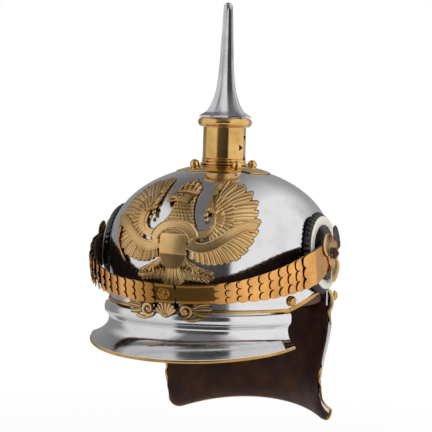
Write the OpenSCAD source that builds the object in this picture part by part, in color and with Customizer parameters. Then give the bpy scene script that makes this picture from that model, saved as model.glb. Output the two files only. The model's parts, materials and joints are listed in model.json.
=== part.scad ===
// Cuirassier helmet, in millimetres.
// The front of the helmet looks along -Y, the wearer's left is +X, the spike points along +Z.
// The origin is the middle of the head opening, level with the joint of skull and peak.

/* [Skull] */
// Half width of the steel skull at its widest, over the ears
skull_half_w = 97; // [92:0.5:102]
// Half length of the steel skull at its widest, brow to nape
skull_half_l = 111; // [106:0.5:116]
// Height of the skull's upright wall over the brow line
wall_h = 52; // [48:0.5:56]
// Rise of the dome over the wall
dome_h = 69; // [65:0.5:73]
// How much the skull's half width draws in at the brow line
brow_in = 2; // [1:0.25:3]
// Thickness of the steel sheet
sheet_t = 1.2; // [1:0.1:1.5]
// How far the skull's front edge reaches down behind the peak
skull_tab = 7; // [5:0.5:8]
// Height of the arch that is cut over each ear
arch_h = 15.5; // [12:0.5:18]
// Place of the arch's top, behind the helmet's middle
arch_back = 10; // [6:0.5:14]
// Gap between sheets and fittings that lie on each other
seat_gap = 0.3; // [0.25:0.05:0.35]

/* [Peak] */
// Angle of the peak's ends from straight ahead, in degrees
peak_end = 60; // [56:0.5:64]
// Height of the peak's raised upper band
peak_band_h = 9.5; // [8:0.25:11]
// How far the raised bands of peak and neck guard stand out
band_out = 2.4; // [1.8:0.1:3]
// Height of the plain step under the raised band
peak_step_h = 8; // [6:0.5:10]
// Radius of the peak's rim, seen from above
rim_r = 95; // [92:0.5:97]
// How far the rim reaches in front of the skull
rim_reach = 29; // [25:0.5:33]
// Depth of the rim below the brow line at its ends
rim_end_drop = 27.5; // [25:0.5:30]
// Depth of the rim below the brow line at the front
rim_front_drop = 36.4; // [34:0.5:40]
// Angle round the rim's own centre at which its ends lie, in degrees
rim_spread = 78; // [75:0.5:80]

/* [Neck guard] */
// Angle of the guard's upper front corners from straight back, in degrees
guard_top_end = 79; // [76:0.5:80]
// Angle of the guard's lower corners from straight back, in degrees
guard_foot_end = 46; // [40:0.5:48]
// How far the guard's upper edge laps over the skull behind
guard_lap = 10; // [8:0.5:12]
// Depth of the guard's foot below the brow line, straight behind
guard_drop = 104; // [98:1:110]
// How much deeper the foot's corners reach
corner_drop = 14; // [10:0.5:16]
// How far the foot flares outward
foot_flare = 17; // [14:0.5:19]
// Rounding of the neck guard's lower corners
corner_r = 14; // [10:0.5:16]

/* [Brass edging] */
// Thickness of the brass channel
trim_t = 0.9; // [0.7:0.1:1.1]
// How far the channel grips over the sheet
trim_depth = 2.6; // [2.2:0.1:3.2]
// Play between channel and sheet
trim_gap = 0.3; // [0.25:0.05:0.35]
// Height of the brass rail over the joint of skull and peak
rail_h = 3; // [2.4:0.2:3.6]
// Thickness of that rail
rail_t = 1.2; // [1:0.1:1.5]

/* [Linings] */
// Thickness of the linings of peak and neck guard
lining_t = 0.9; // [0.7:0.1:1.1]
// Thickness of the sweatband's leather
band_t = 1.6; // [1.2:0.1:2]
// Height of the sweatband
band_h = 32; // [28:0.5:36]
// Space between the skull and the sweatband
band_gap = 5; // [4:0.25:6]
// Number of leather tongues over the crown
tongues = 10; // [8:2:12]
// Width of a tongue where it leaves the sweatband
tongue_w = 34; // [30:0.5:38]

/* [Spike and neck] */
// Half width over the arms of the cross-shaped base plate
base_reach = 42; // [39:0.5:45]
// Width of each arm of the base plate
base_arm_w = 50; // [46:0.5:54]
// Thickness of the base plate
base_t = 1.2; // [1:0.1:1.5]
// Distance of the base rivets from the spike's axis
base_rivet_r = 27.4; // [26:0.2:29]
// Radius of the domed rivet heads
rivet_r = 4.5; // [4:0.1:5]
// Outer radius of the neck tube
neck_r = 19; // [17.5:0.25:20]
// Wall of the neck tube
neck_t = 1.2; // [1:0.1:1.5]
// Height of the neck tube
neck_h = 33; // [30:0.5:36]
// Radius of the round section of the spike ring
ring_bead_r = 4.1; // [3.6:0.1:4.6]
// Thickness of the web inside the spike ring
ring_web_t = 2.2; // [1.8:0.1:2.6]
// Height of the spike over its ring
spike_h = 101.5; // [92:0.5:110]
// Radius over the corners of the spike's foot
spike_foot_r = 23.3; // [22:0.1:24]
// Radius over the corners of the spike near its point
spike_tip_r = 4.1; // [3.6:0.1:4.6]
// Radius of the spike's stem
stem_r = 5; // [4.5:0.1:5.5]
// Length of the stem inside its socket
stem_grip = 10; // [9:0.25:12]
// Radial play of stem in socket, and of the straps on their posts
running_gap = 0.06; // [0.04:0.01:0.08]

/* [Cockades and posts] */
// Place of the posts in front of the spike's axis
post_fore = 9; // [6:0.5:12]
// Height of the posts over the brow line
post_z = 49; // [47:0.5:50]
// Radius of the posts
post_r = 3; // [2.6:0.1:3.4]
// Radius of the cockade disc
cockade_r = 35.7; // [33:0.1:37]
// Number of flutes round the cockade disc
flutes = 44; // [36:2:52]
// Outer radius of the pale ring
ring_outer_r = 31.5; // [30:0.1:32]
// Inner radius of the pale ring
ring_inner_r = 24; // [22:0.1:26]
// Thickness of the cockade's face
cockade_t = 1.5; // [1.2:0.1:1.6]
// Depth of the crimped skirt behind the cockade's face
skirt_h = 3.5; // [3:0.1:3.6]
// Thickness of the pale ring
ring_t = 0.6; // [0.5:0.05:0.7]
// Upward lean of the cockade's face, in degrees
cockade_lean = 6; // [4:0.5:6.5]
// Radius over the three leaves of the rosette
rosette_r = 26; // [24:0.25:27]
// Radius of the knob on each post
knob_r = 5.3; // [4.8:0.1:6]

/* [Chin scales] */
// Space between the skull's side and the straps at the posts
strap_side_gap = 7.5; // [7:0.1:9]
// Space between the skull and the dipping strap at the front
strap_front_gap = 11.06; // [9.5:0.1:13]
// Dip of the straps from the posts to the front, in degrees
strap_dip = 15.8; // [14.5:0.1:16.5]
// Fullness of the straps' bend, 2 is a plain ellipse
strap_full = 2.2; // [2.15:0.05:2.3]
// Thickness of the leather behind the scales
leather_t = 1.8; // [1.4:0.1:2]
// Width of the straps at the front
strap_w = 17; // [15:0.5:19]
// Width of the straps at the end scales
strap_end_w = 30; // [27:0.5:32]
// Pitch of the scales as an angle round the helmet, in degrees
scale_step = 4.6; // [4.4:0.05:4.7]
// Number of small scales in the rear length of each strap
rear_scales = 5; // [4:1:5]
// Number of small scales in the front length of the left strap
left_front_scales = 4; // [3:1:4]
// Number of small scales in the front length of the right strap
right_front_scales = 7; // [6:1:7]
// How far each scale laps over the next
scale_lap = 4; // [3:0.25:4.5]
// Thickness of a scale
scale_t = 0.8; // [0.6:0.05:0.9]
// Angle of the parting of the two straps from straight ahead, in degrees
parting = 3.4; // [2:0.2:5]

/* [Front plate] */
// Height of the middle of the eagle's wings
wing_z = 72; // [70:0.5:75]
// Length of the longest feathers from the middle of the wing
wing_r = 35; // [33:0.5:37]
// Number of long feathers in each wing
feathers = 13; // [11:1:15]
// Thickness of the stamped plate
relief_t = 2.2; // [1.8:0.1:2.6]
// Radius of the eagle's two screw posts
eagle_post_r = 1.6; // [1.4:0.1:2]

/* [Hidden] */
$fn = 64;
steel = [0.74, 0.75, 0.77];
brass = [0.80, 0.62, 0.30];
gilt = [0.72, 0.55, 0.27];
leather = [0.22, 0.12, 0.08];
black = [0.08, 0.08, 0.09];

// Where the pieces of the spike lie above the crown
base_gap = seat_gap;
crown_z = wall_h + dome_h;
plate_top = crown_z + base_gap + base_t;
neck_foot_z = plate_top - 0.6;
neck_top_z = neck_foot_z + neck_h;
ring_z = neck_top_z + 0.2 + ring_bead_r;
ring_top_z = ring_z + ring_bead_r;
spike_z = ring_top_z + 0.2;
stem_low_z = neck_top_z - 2 - stem_grip;

// The straps follow the skull: half their width, and their reach in the dipping plane
strap_half_w = skull_half_w + strap_side_gap;
strap_reach = (skull_half_l + strap_front_gap - post_fore) / cos(strap_dip);

// Small general functions
function mix(a, b, t) = a + (b - a) * t;
function unit(v) = v / norm(v);
function key_slope(keys, i) =
    let (a = keys[max(i - 1, 0)], b = keys[min(i + 1, len(keys) - 1)]) (b[1] - a[1]) / (b[0] - a[0]);
// Smooth curve through keys, each a pair of place and value
function smooth_at(keys, u) =
    let (
        n = len(keys),
        i = max([0, for (k = [1:n - 2]) if (u >= keys[k][0]) k]),
        a = keys[i],
        b = keys[i + 1],
        w = b[0] - a[0],
        t = (u - a[0]) / w
    )
    (2 * t ^ 3 - 3 * t ^ 2 + 1) * a[1] + (t ^ 3 - 2 * t ^ 2 + t) * w * key_slope(keys, i)
    + (3 * t ^ 2 - 2 * t ^ 3) * b[1] + (t ^ 3 - t ^ 2) * w * key_slope(keys, i + 1);

// Share of the full plan size that the skull has at height z
function plan_share(z) = 1 - brow_in / skull_half_w * min(max(wall_h - z, 0), wall_h) / wall_h;
// Point at angle a from straight ahead, height z, out from the skull's outer face
function plan_pt(a, z, out) =
    [(skull_half_w * plan_share(z) + out) * sin(a), -(skull_half_l * plan_share(z) + out) * cos(a), z];
// Point of the skull's front at x and z, out from its outer face, and the normal there
function face_pt(x, z, out) =
    let (
        a = skull_half_w + out,
        b = skull_half_l + out,
        c = dome_h + out,
        k = plan_share(z),
        h = max(z - wall_h, 0) / c
    )
    [x, -b * k * sqrt(max(1 - (x / a / k) ^ 2 - h ^ 2, 0)), z];
function face_normal(x, z) =
    let (p = face_pt(x, z, 0))
    unit([p[0] / skull_half_w ^ 2, p[1] / skull_half_l ^ 2, max(z - wall_h, 0) / dome_h ^ 2]);

// Unit normal of a grid of points, whose rows run round the helmet and columns run down
function grid_normal(g, i, j) =
    let (
        a = g[min(i + 1, len(g) - 1)][j] - g[max(i - 1, 0)][j],
        b = g[i][min(j + 1, len(g[0]) - 1)] - g[i][max(j - 1, 0)]
    )
    unit(cross(b, a));
// The grid sunk inward by d
function sunk(g, d) =
    [for (i = [0:len(g) - 1]) [for (j = [0:len(g[0]) - 1]) g[i][j] - d * grid_normal(g, i, j)]];

// Sheet between an outer and an inner grid
module shell(outer, inner) {
    n = len(outer);
    m = len(outer[0]);
    function o(i, j) = i * m + j;
    function u(i, j) = n * m + i * m + j;
    function quad(a, b, c, d) = [[a, b, c], [a, c, d]];
    faces = concat(
        [for (i = [0:n - 2], j = [0:m - 2]) each quad(o(i, j), o(i + 1, j), o(i + 1, j + 1), o(i, j + 1))],
        [for (i = [0:n - 2], j = [0:m - 2]) each quad(u(i, j), u(i, j + 1), u(i + 1, j + 1), u(i + 1, j))],
        [for (j = [0:m - 2]) each quad(o(0, j), o(0, j + 1), u(0, j + 1), u(0, j))],
        [for (j = [0:m - 2]) each quad(o(n - 1, j), u(n - 1, j), u(n - 1, j + 1), o(n - 1, j + 1))],
        [for (i = [0:n - 2]) each quad(o(i, 0), u(i, 0), u(i + 1, 0), o(i + 1, 0))],
        [for (i = [0:n - 2]) each quad(o(i, m - 1), o(i + 1, m - 1), u(i + 1, m - 1), u(i, m - 1))]
    );
    polyhedron(points = concat([for (r = outer) each r], [for (r = inner) each r]), faces = faces, convexity = 8);
}

// Stations of the border of a grid: down its first row, along its foot and up its last row
function border(n, m) = concat(
    [for (j = [0:m - 2]) [0, j]],
    [for (i = [0:n - 1]) [i, m - 1]],
    [for (j = [m - 2:-1:0]) [n - 1, j]]
);
// Direction into the sheet at a station of the border
function inward(g, i, j) =
    let (
        n = len(g),
        m = len(g[0]),
        side = i == 0 ? unit(g[1][j] - g[0][j]) : i == n - 1 ? unit(g[n - 2][j] - g[n - 1][j]) : [0, 0, 0],
        up = j == m - 1 ? unit(g[i][m - 2] - g[i][m - 1]) : [0, 0, 0]
    )
    unit(side + up) * (norm(side) * norm(up) > 0.5 ? 1.3 : 1);

// Brass channel folded round an edge: edge points, directions into the sheet, sheet normals
module channel(edge, into, normal) {
    g = sheet_t / 2 + trim_gap;
    h = g + trim_t;
    lip = trim_gap + trim_t;
    last = len(edge) - 1;
    outer = [for (k = [0:last]) [
        edge[k] + into[k] * trim_depth + normal[k] * h,
        edge[k] + normal[k] * h,
        edge[k] - into[k] * lip,
        edge[k] - normal[k] * h,
        edge[k] + into[k] * trim_depth - normal[k] * h
    ]];
    inner = [for (k = [0:last]) [
        edge[k] + into[k] * trim_depth + normal[k] * g,
        edge[k] + normal[k] * g,
        edge[k] - into[k] * trim_gap,
        edge[k] - normal[k] * g,
        edge[k] + into[k] * trim_depth - normal[k] * g
    ]];
    shell(outer, inner);
}

// Channel round the border of a sheet whose outer grid is g
module grid_channel(g) {
    st = border(len(g), len(g[0]));
    channel(
        [for (s = st) g[s[0]][s[1]] - sheet_t / 2 * grid_normal(g, s[0], s[1])],
        [for (s = st) inward(g, s[0], s[1])],
        [for (s = st) grid_normal(g, s[0], s[1])]
    );
}

// Solid of the skull's shape, shrunk by d
module skull_form(d, low) {
    a = skull_half_w - d;
    b = skull_half_l - d;
    c = dome_h - d;
    draw = brow_in * (1 + low / wall_h);
    union() {
        translate([0, 0, -low]) scale([1, b / a, 1]) cylinder(h = wall_h + low, r1 = a - draw, r2 = a);
        translate([0, 0, wall_h]) intersection() {
            scale([1, b / a, c / a]) sphere(r = a);
            translate([-2 * a, -2 * b, 0]) cube([4 * a, 4 * b, 2 * c]);
        }
    }
}

// The skull's edge over the ear, as height against place from front to back
arch_front_y = -skull_half_l * cos(peak_end) - 1;
arch_rear_y = skull_half_l * cos(guard_top_end) + 1;
arch_keys = [
    [arch_front_y, 0], [arch_front_y * 0.85, 0.16 * arch_h], [arch_front_y * 0.5, 0.56 * arch_h],
    [-arch_back, 0.9 * arch_h], [arch_back, arch_h], [arch_rear_y, arch_h - 1], [arch_rear_y + 20, 0]
];
function arch_z(y) = smooth_at(arch_keys, y);
arch_steps = 18;
function arch_y(k) = mix(arch_front_y, arch_rear_y, k / arch_steps);
skull_rear_z = -2;

// Domed rivet head with its flat face down at the origin, and a short shank
module rivet(r, shank) {
    cap_h = r * 0.72;
    ball = (r ^ 2 + cap_h ^ 2) / (2 * cap_h);
    intersection() {
        translate([0, 0, cap_h - ball]) sphere(r = ball);
        cylinder(h = cap_h + 1, r = r);
    }
    translate([0, 0, -shank]) cylinder(h = shank + 0.5, r = r * 0.35);
}
// Rivet with a ball for a head, cut flat where it sits
module ball_rivet(r, shank) {
    intersection() {
        translate([0, 0, r * 0.55]) sphere(r = r);
        cylinder(h = 2 * r, r = r);
    }
    translate([0, 0, -shank]) cylinder(h = shank + 0.5, r = r * 0.35);
}
rivet_hole_play = 0.25;

// Puts children on the skull's side at plan angle a and height z, looking out
module on_wall(a, z, out) {
    translate(plan_pt(a, z, 0)) rotate([0, 0, atan2(-cos(a) / skull_half_l, sin(a) / skull_half_w)])
        translate([out, 0, 0]) rotate([0, 90, 0]) children();
}
stud_out = 0.3;
peak_stud = [peak_end + 1.8, 9.8];
guard_stud = [108.6, 7.5];
stud_places = [for (s = [1, -1], p = [peak_stud, guard_stud]) [s * p[0], p[1]]];

// Puts children on the crown at a point seen from above, upright
module on_crown(x, y, out) {
    h = sqrt(1 - (x / skull_half_w) ^ 2 - (y / skull_half_l) ^ 2);
    n = unit([x / skull_half_w ^ 2, y / skull_half_l ^ 2, h / dome_h]);
    translate([x, y, wall_h + dome_h * h] + out * n) rotate(a = acos(n[2]), v = cross([0, 0, 1], n)) children();
}
base_rivet_places = [for (q = [45:90:315]) base_rivet_r * [cos(q), sin(q)]];

// The front plate is drawn in units of its feathers, 35 to a feather's length
relief_unit = wing_r / 35;
function on_plate(x, z) = [x * relief_unit, wing_z + (z - 72) * relief_unit];
eagle_post_places = [on_plate(-22, 62), on_plate(22, 62)];
vent_r = 13;

module skull() color(steel) difference() {
    skull_form(0, skull_tab);
    skull_form(sheet_t, skull_tab + 1);
    arch_cut();
    cylinder(h = 2 * crown_z, r = vent_r);
    for (s = [-1, 1]) translate([0, -post_fore, post_z]) rotate([0, s * 90, 0])
        cylinder(h = 2 * skull_half_w, r = post_r + rivet_hole_play);
    for (p = base_rivet_places) on_crown(p[0], p[1], 0)
        translate([0, 0, -6]) cylinder(h = 12, r = rivet_r * 0.35 + rivet_hole_play);
    for (p = eagle_post_places) translate([p[0], 0, p[1]]) rotate([90, 0, 0])
        cylinder(h = 2 * skull_half_l, r = eagle_post_r + rivet_hole_play);
    for (p = stud_places) on_wall(p[0], p[1], 0)
        translate([0, 0, -6]) cylinder(h = 12, r = rivet_r * 0.35 + rivet_hole_play);
}

// What is cut away below the skull's edge from the peak's end to the nape
module arch_cut() {
    far = 2 * skull_half_l;
    rotate([90, 0, 90]) translate([0, 0, -skull_half_l]) linear_extrude(far) polygon(concat(
        [[arch_front_y, -skull_tab - 2]],
        [for (k = [0:arch_steps]) [arch_y(k), arch_z(arch_y(k))]],
        [[arch_rear_y + 8, 4], [arch_rear_y + 11, skull_rear_z], [far, skull_rear_z], [far, -skull_tab - 2]]
    ));
}

// Peak: bands over a hollow flare, as one grid of points
peak_rows = 25;
flare_steps = 6;
top_out = seat_gap + sheet_t;
peak_bands = [
    [top_out, 0], [top_out + 0.75 * band_out, -0.16 * peak_band_h], [top_out + band_out, -0.5 * peak_band_h],
    [top_out + 0.75 * band_out, -0.88 * peak_band_h], [top_out - 0.1, -peak_band_h - 0.6],
    [top_out - 1.4, -peak_band_h - 2], [top_out - 1.5, -peak_band_h - 0.6 * peak_step_h],
    [top_out - 1.2, -peak_band_h - peak_step_h]
];
rim_mid_y = -(skull_half_l + rim_reach - rim_r);
rim_fall = (rim_front_drop - rim_end_drop) / (1 - cos(rim_spread));
function rim_pt(a) =
    let (t = a * rim_spread / peak_end)
    [rim_r * sin(t), rim_mid_y - rim_r * cos(t), -rim_front_drop + rim_fall * (1 - cos(t))];
function flare_pt(a, t) =
    let (
        p = plan_pt(a, peak_bands[7][1], peak_bands[7][0]),
        r = rim_pt(a),
        c = [mix(p[0], r[0], 0.16), mix(p[1], r[1], 0.16), mix(p[2], r[2], 0.7)]
    )
    (1 - t) ^ 2 * p + 2 * t * (1 - t) * c + t ^ 2 * r;
function peak_section(a) = concat(
    [for (b = peak_bands) plan_pt(a, b[1], b[0])],
    [for (k = [1:flare_steps]) flare_pt(a, k / flare_steps)]
);
peak_grid = [for (i = [0:peak_rows - 1]) peak_section(mix(-peak_end, peak_end, i / (peak_rows - 1)))];

module visor() color(steel) difference() {
    shell(peak_grid, sunk(peak_grid, sheet_t));
}

module visor_trim() color(brass) grid_channel(peak_grid);

// Part of a grid between two rows and two columns, sunk inward by d
function patch(g, i0, i1, j0, j1, d) =
    [for (i = [i0:i1]) [for (j = [j0:j1]) g[i][j] - d * grid_normal(g, i, j)]];
lining_gap = 0.35;

// Leather under the peak, kept inside the brass edging
module visor_lining() {
    function face(d) = patch(peak_grid, 2, peak_rows - 3, 8, 12, sheet_t + lining_gap + d);
    color(leather) shell(face(0), face(lining_t));
}

// Flat brass rail over the joint, in front of the skull and on top of the peak's edge
module front_rail() {
    rail_rows = 31;
    rail_out = seat_gap;
    low = 0.2;
    function row(a, out) = [plan_pt(a, low + rail_h, out), plan_pt(a, low, out)];
    stop = peak_end - 1.6;
    angles = [for (i = [0:rail_rows - 1]) mix(-stop, stop, i / (rail_rows - 1))];
    color(brass) shell([for (a = angles) row(a, rail_out + rail_t)], [for (a = angles) row(a, rail_out)]);
}

// Neck guard: rows run round the back, columns run down from its top band
guard_rows = 21;
guard_cols = [0, 0.03, 0.06, 0.1, 0.135, 0.165, 0.2, 0.27, 0.37, 0.48, 0.6, 0.7, 0.79, 0.87, 0.94, 1];
guard_out_keys = [
    [0, top_out], [0.03, top_out + 0.8 * band_out], [0.06, top_out + band_out + 0.4],
    [0.12, top_out + band_out + 0.4], [0.15, top_out + 0.8 * band_out], [0.175, top_out + 0.7],
    [0.25, top_out + 1.5], [0.4, top_out + 1.2], [0.6, top_out - 0.5], [0.75, top_out - 1.8],
    [0.88, top_out + 0.06 * foot_flare], [0.95, top_out + 0.42 * foot_flare], [1, foot_flare]
];
guard_end_keys = [
    [0, guard_top_end], [0.15, guard_top_end - 8], [0.35, guard_top_end - 16], [0.6, guard_top_end - 24],
    [0.8, guard_foot_end + 7], [0.93, guard_foot_end + 3], [1, guard_foot_end]
];
function guard_top_z(s) = guard_lap + skull_rear_z + (arch_h - 1.5 - guard_lap - skull_rear_z) * s ^ 4;
corner_from = 0.86;
function guard_foot_z(s) =
    let (u = max(abs(s) - corner_from, 0) / (1 - corner_from))
    -guard_drop - corner_drop * s ^ 2 + corner_r * (1 - sqrt(1 - min(u, 1) ^ 2));
function guard_pt(s, v) =
    plan_pt(180 - s * smooth_at(guard_end_keys, v), mix(guard_top_z(s), guard_foot_z(s), v),
        smooth_at(guard_out_keys, v));
guard_places = [for (i = [0:guard_rows - 1]) mix(cos(180 * i / (guard_rows - 1)), 1 - 2 * i / (guard_rows - 1), 0.3)];
guard_grid = [for (s = guard_places) [for (v = guard_cols) guard_pt(s, v)]];

module neck_guard() color(steel) difference() {
    shell(guard_grid, sunk(guard_grid, sheet_t));
    for (s = [-1, 1]) on_wall(s * guard_stud[0], guard_stud[1], 0)
        translate([0, 0, -3 * sheet_t]) cylinder(h = 3 * rivet_r, r = rivet_r * 0.35 + rivet_hole_play);
}

module neck_guard_trim() color(brass) grid_channel(guard_grid);

module neck_guard_lining() {
    function face(d) = patch(guard_grid, 1, guard_rows - 2, 6, 14, sheet_t + lining_gap + d);
    color(leather) shell(face(0), face(lining_t));
}

// Channels on the skull's own edge over each ear
module arch_trim(side) {
    last = arch_steps - 2;
    function wall_pt(y) =
        let (z = arch_z(y), k = plan_share(z), b = skull_half_l * k - sheet_t / 2)
        [side * (skull_half_w * k - sheet_t / 2) * sqrt(1 - (y / b) ^ 2), y, z];
    function wall_n(p) = unit([p[0] / skull_half_w ^ 2, p[1] / skull_half_l ^ 2, 0]);
    ys = [for (k = [0:last]) arch_y(side > 0 ? k + 1 : last + 1 - k)];
    edge = [for (y = ys) wall_pt(y)];
    normal = [for (p = edge) wall_n(p)];
    run = [for (k = [0:last]) unit(edge[min(k + 1, last)] - edge[max(k - 1, 0)])];
    channel(edge, [for (k = [0:last]) unit(cross(normal[k], run[k]))], normal);
}
module arch_trims() color(brass) {
    arch_trim(1);
    arch_trim(-1);
}

// The studs' shanks reach in to the sweatband, which hangs on them
module side_studs() color(brass) for (p = stud_places) {
    over_guard = abs(p[0]) > 90 ? top_out + band_out + 0.45 : 0;
    on_wall(p[0], p[1], stud_out + over_guard)
        rivet(rivet_r, sheet_t + stud_out + over_guard + band_gap - seat_gap);
}

// Cross-shaped brass plate bent over the crown
module spike_base() color(brass) difference() {
    intersection() {
        difference() {
            skull_form(-base_gap - base_t, 0);
            skull_form(-base_gap, 0);
        }
        translate([0, 0, wall_h]) linear_extrude(dome_h + 10) intersection() {
            circle(r = base_reach);
            union() {
                square([3 * base_reach, base_arm_w], center = true);
                square([base_arm_w, 3 * base_reach], center = true);
            }
        }
    }
    cylinder(h = 2 * crown_z, r = vent_r);
    for (p = base_rivet_places) on_crown(p[0], p[1], 0)
        translate([0, 0, -6]) cylinder(h = 12, r = rivet_r * 0.35 + rivet_hole_play);
}

module base_studs() color(brass) for (p = base_rivet_places)
    on_crown(p[0], p[1], base_gap + base_t + stud_out) ball_rivet(rivet_r, base_t + base_gap + stud_out + sheet_t + 1);

// Brass neck tube with a flanged foot, two beads and two groups of vents
vent_group_z = 0.46 * neck_h;
vent_side = 4.6;
module vent_group() for (q = [0:90:270]) rotate([q, 0, 0])
    translate([0, 0, q % 180 == 0 ? 9 : 6.6]) rotate([90, 0, 90]) linear_extrude(3 * neck_r)
        polygon([[-vent_side / 2, vent_side / 2], [vent_side / 2, vent_side / 2], [0, -vent_side / 2]]);
module spike_neck() color(brass) translate([0, 0, neck_foot_z]) difference() {
    union() {
        cylinder(h = neck_h, r = neck_r);
        cylinder(h = 1.2, r = neck_r + 2);
        rotate_extrude() translate([neck_r, 3]) circle(r = 0.8, $fn = 24);
        rotate_extrude() translate([neck_r, 5.2]) circle(r = 0.5, $fn = 24);
    }
    translate([0, 0, -1]) cylinder(h = neck_h + 2, r = neck_r - neck_t);
    for (s = [0, 180]) rotate([0, 0, s]) translate([0, 0, vent_group_z]) vent_group();
}

// Bridge with a boss that the spike's stem screws into
module spike_socket() color(brass) difference() {
    union() {
        translate([0, 0, neck_top_z - 3.2]) cylinder(h = 3, r = neck_r - neck_t - 0.15);
        translate([0, 0, stem_low_z - 1]) cylinder(h = stem_grip + 2.5, r = stem_r + 3);
    }
    translate([0, 0, stem_low_z - 2]) cylinder(h = stem_grip + 6, r = stem_r + running_gap);
}

module spike_ring() color(brass) difference() {
    union() {
        rotate_extrude() translate([neck_r + 0.9, ring_z]) circle(r = ring_bead_r);
        translate([0, 0, ring_top_z - ring_web_t]) cylinder(h = ring_web_t, r = neck_r + 0.9);
    }
    cylinder(h = 2 * ring_top_z, r = stem_r + 0.6);
}

// Six-sided hollow-ground spike: radius over the corners against height
spike_keys = [
    [0, spike_foot_r], [0.012, spike_foot_r - 0.3], [0.05, 0.74 * spike_foot_r], [0.128, 0.535 * spike_foot_r],
    [0.256, 0.5 * spike_tip_r + 0.285 * spike_foot_r], [0.453, 1.6 * spike_tip_r], [0.64, 1.37 * spike_tip_r],
    [0.837, 1.15 * spike_tip_r], [0.955, spike_tip_r], [0.985, 0.8 * spike_tip_r], [1, 0.25 * spike_tip_r]
];
spike_levels = [0, 0.012, 0.03, 0.055, 0.09, 0.14, 0.21, 0.32, 0.48, 0.7, 0.955, 0.985, 1];
spike_sides = 36;
flute_depth = 0.08;
module spike() {
    n = spike_sides;
    m = len(spike_levels);
    function section(u) =
        let (r = smooth_at(spike_keys, u), d = flute_depth * (1 - 0.6 * u))
        [for (k = [0:n - 1])
            let (
                q = 360 * k / n,
                flat = cos(30) / cos((q + 90) % 60 - 30),
                f = r * flat * (1 - d * sin(3 * (q + 90)) ^ 2)
            )
            [f * cos(q), f * sin(q), spike_z + u * spike_h]];
    points = [for (u = spike_levels) each section(u)];
    sides = [for (j = [0:m - 2], k = [0:n - 1]) let (a = j * n + k, b = j * n + (k + 1) % n)
        each [[a, a + n, b + n], [a, b + n, b]]];
    low = [for (k = [1:n - 2]) [0, k, k + 1]];
    high = [for (k = [1:n - 2]) (m - 1) * n * [1, 1, 1] + [0, k + 1, k]];
    color(steel) union() {
        polyhedron(points = points, faces = concat(sides, low, high), convexity = 4);
        translate([0, 0, stem_low_z]) cylinder(h = spike_z - stem_low_z + 3, r = stem_r);
    }
}

// Cockade, its pale ring and the post through it, on the left; the right is the mirror image
cockade_back = 0.6;
cockade_hole = post_r + 0.35;
side_turn = 4;
module cockade_frame() translate([skull_half_w + cockade_back, -post_fore, post_z])
    rotate([0, -cockade_lean, -side_turn]) rotate([0, 90, 0]) children();
face_r = ring_outer_r + 0.8;
module cockade() color(black) cockade_frame() difference() {
    translate([0, 0, -skirt_h]) linear_extrude(skirt_h + cockade_t, scale = face_r / cockade_r)
        polygon([for (k = [0:2 * flutes - 1])
            let (r = cockade_r - (k % 2) * 1.4, q = 180 * k / flutes) r * [cos(q), sin(q)]]);
    translate([0, 0, -skirt_h - 1]) cylinder(h = skirt_h + 1, r1 = cockade_r - 3, r2 = face_r - 4);
    translate([0, 0, -1]) cylinder(h = cockade_t + 2, r = cockade_hole);
}
module cockade_ring() color([0.86, 0.86, 0.84]) cockade_frame()
    translate([0, 0, cockade_t + 0.02]) difference() {
        cylinder(h = ring_t, r = ring_outer_r);
        translate([0, 0, -1]) cylinder(h = ring_t + 2, r = ring_inner_r);
    }
scale_seat = 0.3;
rosette_in = strap_half_w + scale_seat + scale_t + 0.3;
rosette_t = 1.2;
rosette_rise = 1.4;
leaf_angles = [0, 132, 228];
knob_in = rosette_in + rosette_t + 0.75;
post_low = skull_half_w - 7;
collar_low = skull_half_w + cockade_back + cockade_t + 1.35;
collar_high = strap_half_w - leather_t - 0.7;
module post() color(steel) translate([0, -post_fore, post_z]) rotate([0, 90, 0]) {
    translate([0, 0, post_low]) cylinder(h = knob_in - post_low + 1, r = post_r);
    translate([0, 0, collar_low]) cylinder(h = collar_high - collar_low, r = 2.1 * post_r);
}
module knob() color(black) translate([knob_in, -post_fore, post_z]) rotate([0, 90, 0]) difference() {
    union() {
        cylinder(h = 1, r = knob_r);
        translate([0, 0, 1]) intersection() {
            translate([0, 0, knob_r * 0.6 - knob_r * 1.13]) sphere(r = knob_r * 1.13);
            cylinder(h = knob_r, r = knob_r);
        }
    }
    translate([0, 0, -1]) cylinder(h = 2.05, r = post_r + 0.05);
}
nut_out = skull_half_w - sheet_t - 1.6;
module post_nut() translate([nut_out - 4, -post_fore, post_z]) rotate([0, 90, 0]) difference() {
    cylinder(h = 4, r = 2.1 * post_r, $fn = 6);
    translate([0, 0, -1]) cylinder(h = 6, r = post_r + 0.05);
}
module post_nuts() color(steel) {
    post_nut();
    mirror([1, 0, 0]) post_nut();
}

// The straps lie in a plane that dips from the posts to the front
module strap_frame() translate([0, -post_fore, post_z]) rotate([strap_dip, 0, 0]) children();
function strap_pt(a, out) =
    let (
        x = abs(sin(a)) / (strap_half_w + out),
        y = abs(cos(a)) / (strap_reach + out),
        r = (x ^ strap_full + y ^ strap_full) ^ (-1 / strap_full)
    )
    [r * sin(a), -r * cos(a), 0];
function strap_out(a) =
    let (d = strap_pt(a + 0.5, 0) - strap_pt(a - 0.5, 0)) unit([d[1], -d[0], 0]);
// Width of the strap at angle a
full_w_at = 61;
function strap_width(a) =
    mix(strap_w, strap_end_w, min(max(abs(a) - 30, 0) / (full_w_at - 30), 1) ^ 1.6);
// Puts children at angle a with +X out of the strap and -Y to the front
module at_strap(a, out) {
    n = strap_out(a);
    p = strap_pt(a, 0) + out * n;
    translate(p) rotate([0, 0, atan2(n[1], n[0])]) children();
}
// Where the free edges of the scales lie
end_edge = 60.7;
rear_edge = end_edge - rear_scales * scale_step;
function arc_of(a, d) = d / norm(strap_pt(a, 0)) * 180 / PI;

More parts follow.
